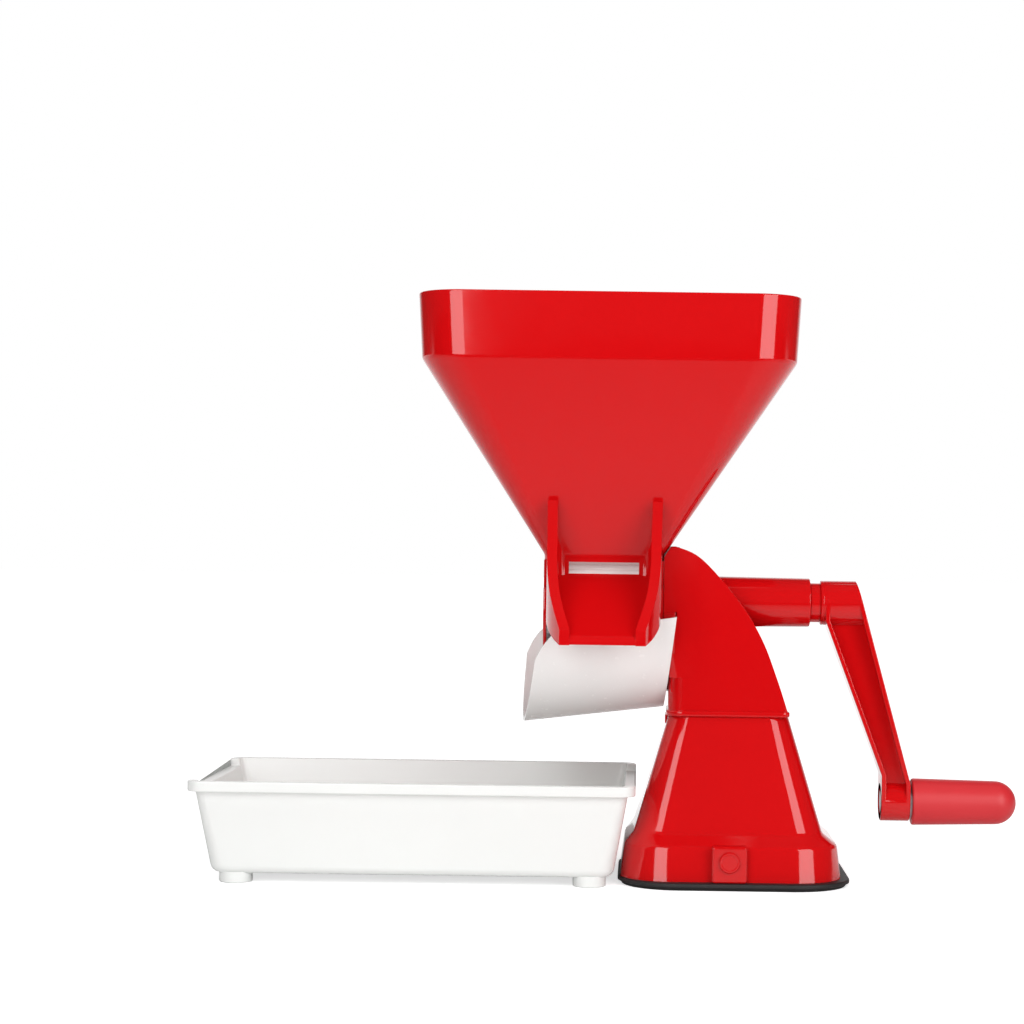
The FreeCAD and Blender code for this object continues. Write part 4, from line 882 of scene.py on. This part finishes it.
def build_arm():
    """I-section arm with its hub and the grip's boss."""
    top, bottom = AXIS_Z + HUB_R + OVER, GRIP_Z - BOSS_R - OVER
    inner = [(ARM_INNER, top), (ARM_INNER, ARM_HUB_BEND), (BOSS_LEFT, ARM_BOSS_BEND),
             (BOSS_LEFT, bottom)]
    lean = (BOSS_END - ARM_OUTER) / (AXIS_Z - ARM_OUTER_BEND)
    outer = [(ARM_OUTER - (top - AXIS_Z) * lean, top), (BOSS_END, ARM_OUTER_BEND),
             (BOSS_END, bottom)]
    outer_inside = [(x - ARM_FLANGE, z) for x, z in outer]
    arm = arm_plate("crank_arm_moulding", inner, ARM_FLANGE)
    outer_flange = arm_plate("outer_flange", outer_inside, ARM_FLANGE)
    for flange in (arm, outer_flange):
        carve(flange, arm_outline(), "INTERSECT")
        soften(flange, 0.6, 3, 60)
    half = ARM_WEB / 2
    web = plate("web", [(x + OVER, -half, z) for x, z in inner + outer_inside[::-1]],
                (0, ARM_WEB, 0))
    carve(web, arm_outline(), "INTERSECT")
    groove = COLLAR_RIGHT + RING
    hub = turned("hub", [(COLLAR_RIGHT, 0), (COLLAR_RIGHT, HUB_R - 0.5),
                         (COLLAR_RIGHT + 0.5, HUB_R), (groove - GROOVE, HUB_R),
                         (groove, HUB_R - GROOVE), (groove + GROOVE, HUB_R),
                         (BOSS_LEFT, HUB_R), (BOSS_LEFT, 0)], AXLE, "X", 96)
    carve(hub, arm_plate("beyond", outer, BOSS_LEFT))
    soften(hub, 1.6, 4, 60)
    boss = rod("boss", BOSS_LEFT, BOSS_END, BOSS_R, GRIP_MIDDLE, "X", 72)
    soften(boss, 0.8, 3, 60)
    add(arm, outer_flange, web, hub, boss)
    far = BOSS_END + 5
    pocket = HUB_RIGHT - HUB_POCKET
    shaft_end = pocket - 2.0
    bores = [(SHAFT_R, COLLAR_RIGHT - 5, shaft_end, AXLE), (HUB_POCKET_R, pocket, far, AXLE),
             (SCREW_R, shaft_end - OVER, HUB_RIGHT, AXLE),
             (PIN_R, COLLAR_RIGHT, far, GRIP_MIDDLE),
             (PIN_HEAD_R, COLLAR_RIGHT, BOSS_LEFT + 4.0, GRIP_MIDDLE)]
    for radius, start, end, middle in bores:
        carve(arm, rod("bore", start, end, radius, middle, "X", 40))
    # Ejector pins leave shallow rings on the web's face.
    for share in (0.27, 0.55):
        z = AXIS_Z + (GRIP_Z - AXIS_Z) * share
        x = ((ARM_INNER + ARM_OUTER) + (BOSS_LEFT + BOSS_END - ARM_INNER - ARM_OUTER) * share) / 2
        carve(arm, rod("ejector_mark", -half - 2 * MARK_DEPTH, MARK_DEPTH - half,
                       MARK_R + MARK_WIDTH, (x, 0, z), "Y", 40, MARK_R))
    return arm


GRIP_LEFT, GRIP_LENGTH, GRIP_R_ARM, GRIP_R_END = 110.7, 62.9, 13.9, 12.9
GRIP_BORE_R, GRIP_BORE, GRIP_EDGE = 4.1, 42.3, 1.2


def build_grip():
    """Turning grip: slightly tapered, rounded at the arm and domed at its end."""
    stop, dome = GRIP_LEFT + GRIP_BORE, GRIP_LEFT + GRIP_LENGTH - GRIP_R_END
    profile = [(stop, 0), (stop, GRIP_BORE_R), (GRIP_LEFT + 0.5, GRIP_BORE_R),
               (GRIP_LEFT, GRIP_BORE_R + 0.5)]
    profile += arc(GRIP_LEFT + GRIP_EDGE, GRIP_R_ARM - GRIP_EDGE, GRIP_EDGE, 180, 90, 4)
    profile += arc(dome, 0, GRIP_R_END, 90, 0, 16)
    return turned("grip_moulding", profile, GRIP_MIDDLE, "X", 72)


# ---------------- tray and pestle
TRAY_LEFT, TRAY_RIGHT, TRAY_FRONT, TRAY_BACK = -311.2, -54.4, -73.0, 90.0
TRAY_HEIGHT, TRAY_FLOOR, TRAY_WALL, TRAY_TAPER = 59.5, 5.5, 2.4, 9.3
TRAY_CORNER, TRAY_FOOT_CORNER, TRAY_ROUND = 6.0, 9.0, 5.0
TRAY_LIP, TRAY_LIP_HEIGHT, TRAY_DIP, TRAY_DIP_INSET = 3.3, 6.0, 4.5, 13.0
TRAY_MIDDLE = ((TRAY_LEFT + TRAY_RIGHT) / 2, (TRAY_FRONT + TRAY_BACK) / 2)
TRAY_SIDE = (TRAY_RIGHT - TRAY_MIDDLE[0] - TRAY_LIP, TRAY_BACK - TRAY_MIDDLE[1] - TRAY_LIP)
TRAY_FOOT_R, TRAY_FOOT_INSET, TRAY_FOOT_EDGE = 9.6, (13.6, 10.0), 0.6


def build_tray():
    """Tray with drawn-in walls, a thick rim, four feet and slightly lower ends."""
    under = TRAY_HEIGHT - TRAY_LIP_HEIGHT
    share = TRAY_LIP_HEIGHT / (TRAY_HEIGHT - TRAY_FLOOR)
    foot, lip = TRAY_FLOOR + TRAY_WALL, TRAY_CORNER + TRAY_LIP
    levels = [(TRAY_MIDDLE, TRAY_SIDE, inset, corner, z) for inset, corner, z in (
        (TRAY_TAPER + TRAY_WALL, TRAY_FOOT_CORNER - TRAY_WALL, foot),
        (TRAY_WALL, TRAY_CORNER - TRAY_WALL, TRAY_HEIGHT), (-TRAY_LIP, lip, TRAY_HEIGHT),
        (-TRAY_LIP, lip, under), (TRAY_TAPER * share, TRAY_CORNER, under),
        (TRAY_TAPER, TRAY_FOOT_CORNER, TRAY_FLOOR))]
    tray = loft("tray_moulding", levels)
    round_edges(tray, TRAY_WALL, 4, at(z=foot))
    round_edges(tray, TRAY_ROUND, 5, at(z=TRAY_FLOOR))
    through = TRAY_LIP + 2 * TRAY_WALL
    for x in (TRAY_LEFT - OVER, TRAY_RIGHT + OVER - through):
        dip = block("dip", (x, TRAY_FRONT + TRAY_DIP_INSET, TRAY_HEIGHT - TRAY_DIP),
                    (x + through, TRAY_BACK - TRAY_DIP_INSET, TRAY_HEIGHT + 5))
        carve(tray, dip)
    soften(tray, 0.8, 3, 50)
    foot_x, foot_y = [side - TRAY_TAPER - inset
                      for side, inset in zip(TRAY_SIDE, TRAY_FOOT_INSET)]
    for sx in (-1, 1):
        for sy in (-1, 1):
            middle = (TRAY_MIDDLE[0] + sx * foot_x, TRAY_MIDDLE[1] + sy * foot_y, 0)
            profile = [(0, 0), (0, TRAY_FOOT_R - TRAY_FOOT_EDGE), (TRAY_FOOT_EDGE, TRAY_FOOT_R),
                       (TRAY_FLOOR + OVER, TRAY_FOOT_R), (TRAY_FLOOR + OVER, 0)]
            add(tray, turned("foot", profile, middle, "Z", 48))
    return tray


PESTLE_LEFT, PESTLE_LENGTH, PESTLE_HEAD_R, PESTLE_HEAD = -290.0, 212.0, 26.0, 36.0
PESTLE_CONE, PESTLE_NECK_R, PESTLE_END_R, PESTLE_EDGE = 24.0, 11.0, 18.0, 5.0
PESTLE_GAP = 8.0  # behind the tray


def build_pestle():
    """Pusher turned about its own axis: blunt head, shoulder, neck and a round end."""
    shoulder = PESTLE_LEFT + PESTLE_HEAD
    neck = shoulder + PESTLE_CONE
    ball = PESTLE_LEFT + PESTLE_LENGTH - PESTLE_END_R
    profile = [(PESTLE_LEFT, 0)]
    profile += arc(PESTLE_LEFT + PESTLE_EDGE, PESTLE_HEAD_R - PESTLE_EDGE, PESTLE_EDGE, 180, 90, 6)
    profile += [(shoulder - 1, PESTLE_HEAD_R), (shoulder + 1, PESTLE_HEAD_R - 0.7),
                (neck - 2, PESTLE_NECK_R + 0.6), (neck + 2, PESTLE_NECK_R + 0.15)]
    profile += arc(ball - 0.4, 0, PESTLE_END_R, 85, 0, 18)[:-1]
    profile.append((PESTLE_LEFT + PESTLE_LENGTH, 0))
    middle = (0, TRAY_BACK + PESTLE_GAP + PESTLE_HEAD_R, PESTLE_HEAD_R)
    return turned("pestle_moulding", profile, middle, "X", 72)


# ---------------- the pieces in place
keep(build_hopper(), "root", "red_plastic", RED, "hopper")
keep(build_pad(), "root", "black_rubber", RUBBER, "suction_pad")
keep(build_pedestal(), "root", "red_plastic", RED, "pedestal")
keep(build_cap(), "lever", "red_plastic", RED, "axle_cap")
keep(build_lever(), "lever", "red_plastic", RED, "suction_lever")
keep(build_upper_body(), "root", "red_plastic", RED, "upper_body")
keep(build_apron(), "root", "white_plastic", WHITE, "juice_apron")
keep(build_collar(), "crank", "red_plastic", RED, "thrust_collar")
keep(build_arm(), "crank", "red_plastic", RED, "crank_arm")
keep(build_grip(), "handle", "satin_red_plastic", GRIP_RED, "grip")
keep(build_tray(), "collecting_tray", "tray_plastic", TRAY_WHITE_PAINTED_SHADE, "tray")
keep(build_pestle(), "pusher", "pestle_plastic", PESTLE_WHITE, "pestle")


# ---------------- CAD nodes that stay
NODE_FINISHES = [
    (ROD_STEEL, ("cam_axle", "lever_pin", "body_screws", "drive_shaft", "crank_washer",
                 "crank_screw", "grip_pin", "grip_clip", "grip_washer")),
    (WHITE, ("suction_stem", "press_drum", "end_bush", "inner_bush", "outer_bush")),
    (SHEET_STEEL, ("strainer_screen",)), (RED, ("side_clip",)), (RUBBER, ("shaft_seal",))]
for material, names in NODE_FINISHES:
    for name in names:
        slots = bpy.data.objects[name].data.materials
        slots.clear()
        slots.append(material)


# ---------------- stage, light and camera
def either(owner, first, second, operation="MAXIMUM"):
    """One value from two."""
    return add_node(owner, "Math", {0: first, 1: second}, operation=operation).outputs[0]


def ramp(owner, value, start, end, low=0.0, high=1.0):
    """Runs from low at start to high at end, and stays level beyond them."""
    return add_node(owner, "MapRange", {"Value": value}, From_Min=start, From_Max=end,
                    To_Min=low, To_Max=high).outputs["Result"]


def studio_floor():
    """White paper sweep: seen as white, and darker only where the part shades it.

    What the part mirrors of it is white behind the part, plain paper just in front, and further in
    front a painted dark sheet that stands in for the unlit room.
    """
    bpy.ops.object.select_all(action="DESELECT")
    bpy.ops.mesh.primitive_plane_add(size=30)
    floor = bpy.context.object
    floor.name = "studio_floor"
    material = bpy.data.materials.new("white_paper")
    material.use_nodes = True
    material.node_tree.nodes.clear()
    paper = add_node(material, "BsdfDiffuse", Color=srgb("#F2F2F2")).outputs[0]
    # Painted shade: a dark sheet that only mirrored rays see, far in front of the part, in place
    # of the unlit room.
    dark = add_node(material, "BsdfDiffuse", Color=srgb("#202020")).outputs[0]
    rays = add_node(material, "LightPath").outputs
    place = add_node(material, "TexCoord").outputs["Object"]
    depth = add_node(material, "SeparateXYZ", {0: place}).outputs["Y"]
    strength = ramp(material, depth, 0.3, 2.0, 0.65, 1.0)
    glow = add_node(material, "Emission", {"Strength": strength}).outputs[0]
    mirrored = rays["Is Glossy Ray"]
    behind = either(material, mirrored, ramp(material, depth, 0.0, 0.6), "MULTIPLY")
    # Share of the painted dark sheet in what mirrored rays see: none from 0.1 m behind the middle,
    # all from 0.9 m in front of it.
    painted_shade_share = either(material, mirrored, ramp(material, depth, 0.1, -0.9), "MULTIPLY")
    seen = either(material, either(material, rays["Is Camera Ray"],
                                   rays["Is Transmission Ray"]), behind)
    lit = add_node(material, "AddShader", {0: paper, 1: glow}).outputs[0]
    plain = add_node(material, "MixShader", {"Fac": painted_shade_share, 1: paper, 2: dark}).outputs[0]
    mix = add_node(material, "MixShader", {"Fac": seen, 1: plain, 2: lit})
    add_node(material, "OutputMaterial", {"Surface": mix.outputs[0]})
    floor.data.materials.append(material)


WORLD_LIGHT, ROOM_LIGHT = 0.22, 0.06


def studio_world():
    """White paper behind the part; the rest of the room is dark where the part mirrors it."""
    world = bpy.data.worlds.new("studio")
    world.use_nodes = True
    bpy.context.scene.world = world
    shade, room, white = [add_node(world, "Background", Color=(1, 1, 1, 1), Strength=strength)
                          .outputs[0] for strength in (WORLD_LIGHT, ROOM_LIGHT, 1.0)]
    rays = add_node(world, "LightPath").outputs
    towards = add_node(world, "SeparateXYZ",
                       {0: add_node(world, "TexCoord").outputs["Generated"]}).outputs
    paper = ramp(world, towards["Y"], 0.72, 0.9)
    mirrored = add_node(world, "MixShader", {"Fac": paper, 1: room, 2: white}).outputs[0]
    ordinary = add_node(world, "MixShader", {"Fac": rays["Is Glossy Ray"], 1: shade,
                                             2: mirrored}).outputs[0]
    seen = either(world, rays["Is Camera Ray"], rays["Is Transmission Ray"])
    mix = add_node(world, "MixShader", {"Fac": seen, 1: ordinary, 2: white})
    world.node_tree.links.new(mix.outputs[0],
                              world.node_tree.nodes["World Output"].inputs["Surface"])


def softbox(name, place, aim, width, height, power):
    """Area lamp at place, turned to aim."""
    light = bpy.data.lights.new(name, "AREA")
    light.shape = "RECTANGLE"
    light.size, light.size_y = width, height
    light.energy = power
    lamp = bpy.data.objects.new(name, light)
    lamp.location = place
    lamp.rotation_euler = (Vector(aim) - Vector(place)).to_track_quat("-Z", "Y").to_euler()
    bpy.context.collection.objects.link(lamp)
    return lamp


FUNNEL_AIM, MIDDLE_AIM = (-0.06, 0.0, 0.45), (-0.06, 0.0, 0.17)
studio_floor()
studio_world()
softbox("left_box", (-0.685, -1.51, 0.7), FUNNEL_AIM, 0.887, 1.3, 12.6)
softbox("right_box", (0.917, -1.28, 0.7), FUNNEL_AIM, 1.026, 1.3, 14.6)
# The light from above falls through a wide cloth, which no surface mirrors.
softbox("overhead", (-0.05, -0.2, 1.6), MIDDLE_AIM, 1.6, 1.2, 10).visible_glossy = False

# The lens is long and level, with the part low and right of its middle.
LENS_PIXELS, FRAME_PIXELS = 2366, 1024
AXIS_PIXEL = (639.5, 550.7)
camera = bpy.data.cameras.new("studio_camera")
camera.sensor_width = 36
camera.lens = camera.sensor_width * LENS_PIXELS / FRAME_PIXELS
camera.shift_x = 0.5 - AXIS_PIXEL[0] / FRAME_PIXELS
camera.shift_y = AXIS_PIXEL[1] / FRAME_PIXELS - 0.5
tripod = bpy.data.objects.new("studio_camera", camera)
tripod.location = (-0.0541, -1.4197, 0.1944)
tripod.rotation_euler = (math.radians(90), -0.014, 0)
bpy.context.collection.objects.link(tripod)
bpy.context.scene.camera = tripod
bpy.context.scene.view_settings.view_transform = "Standard"
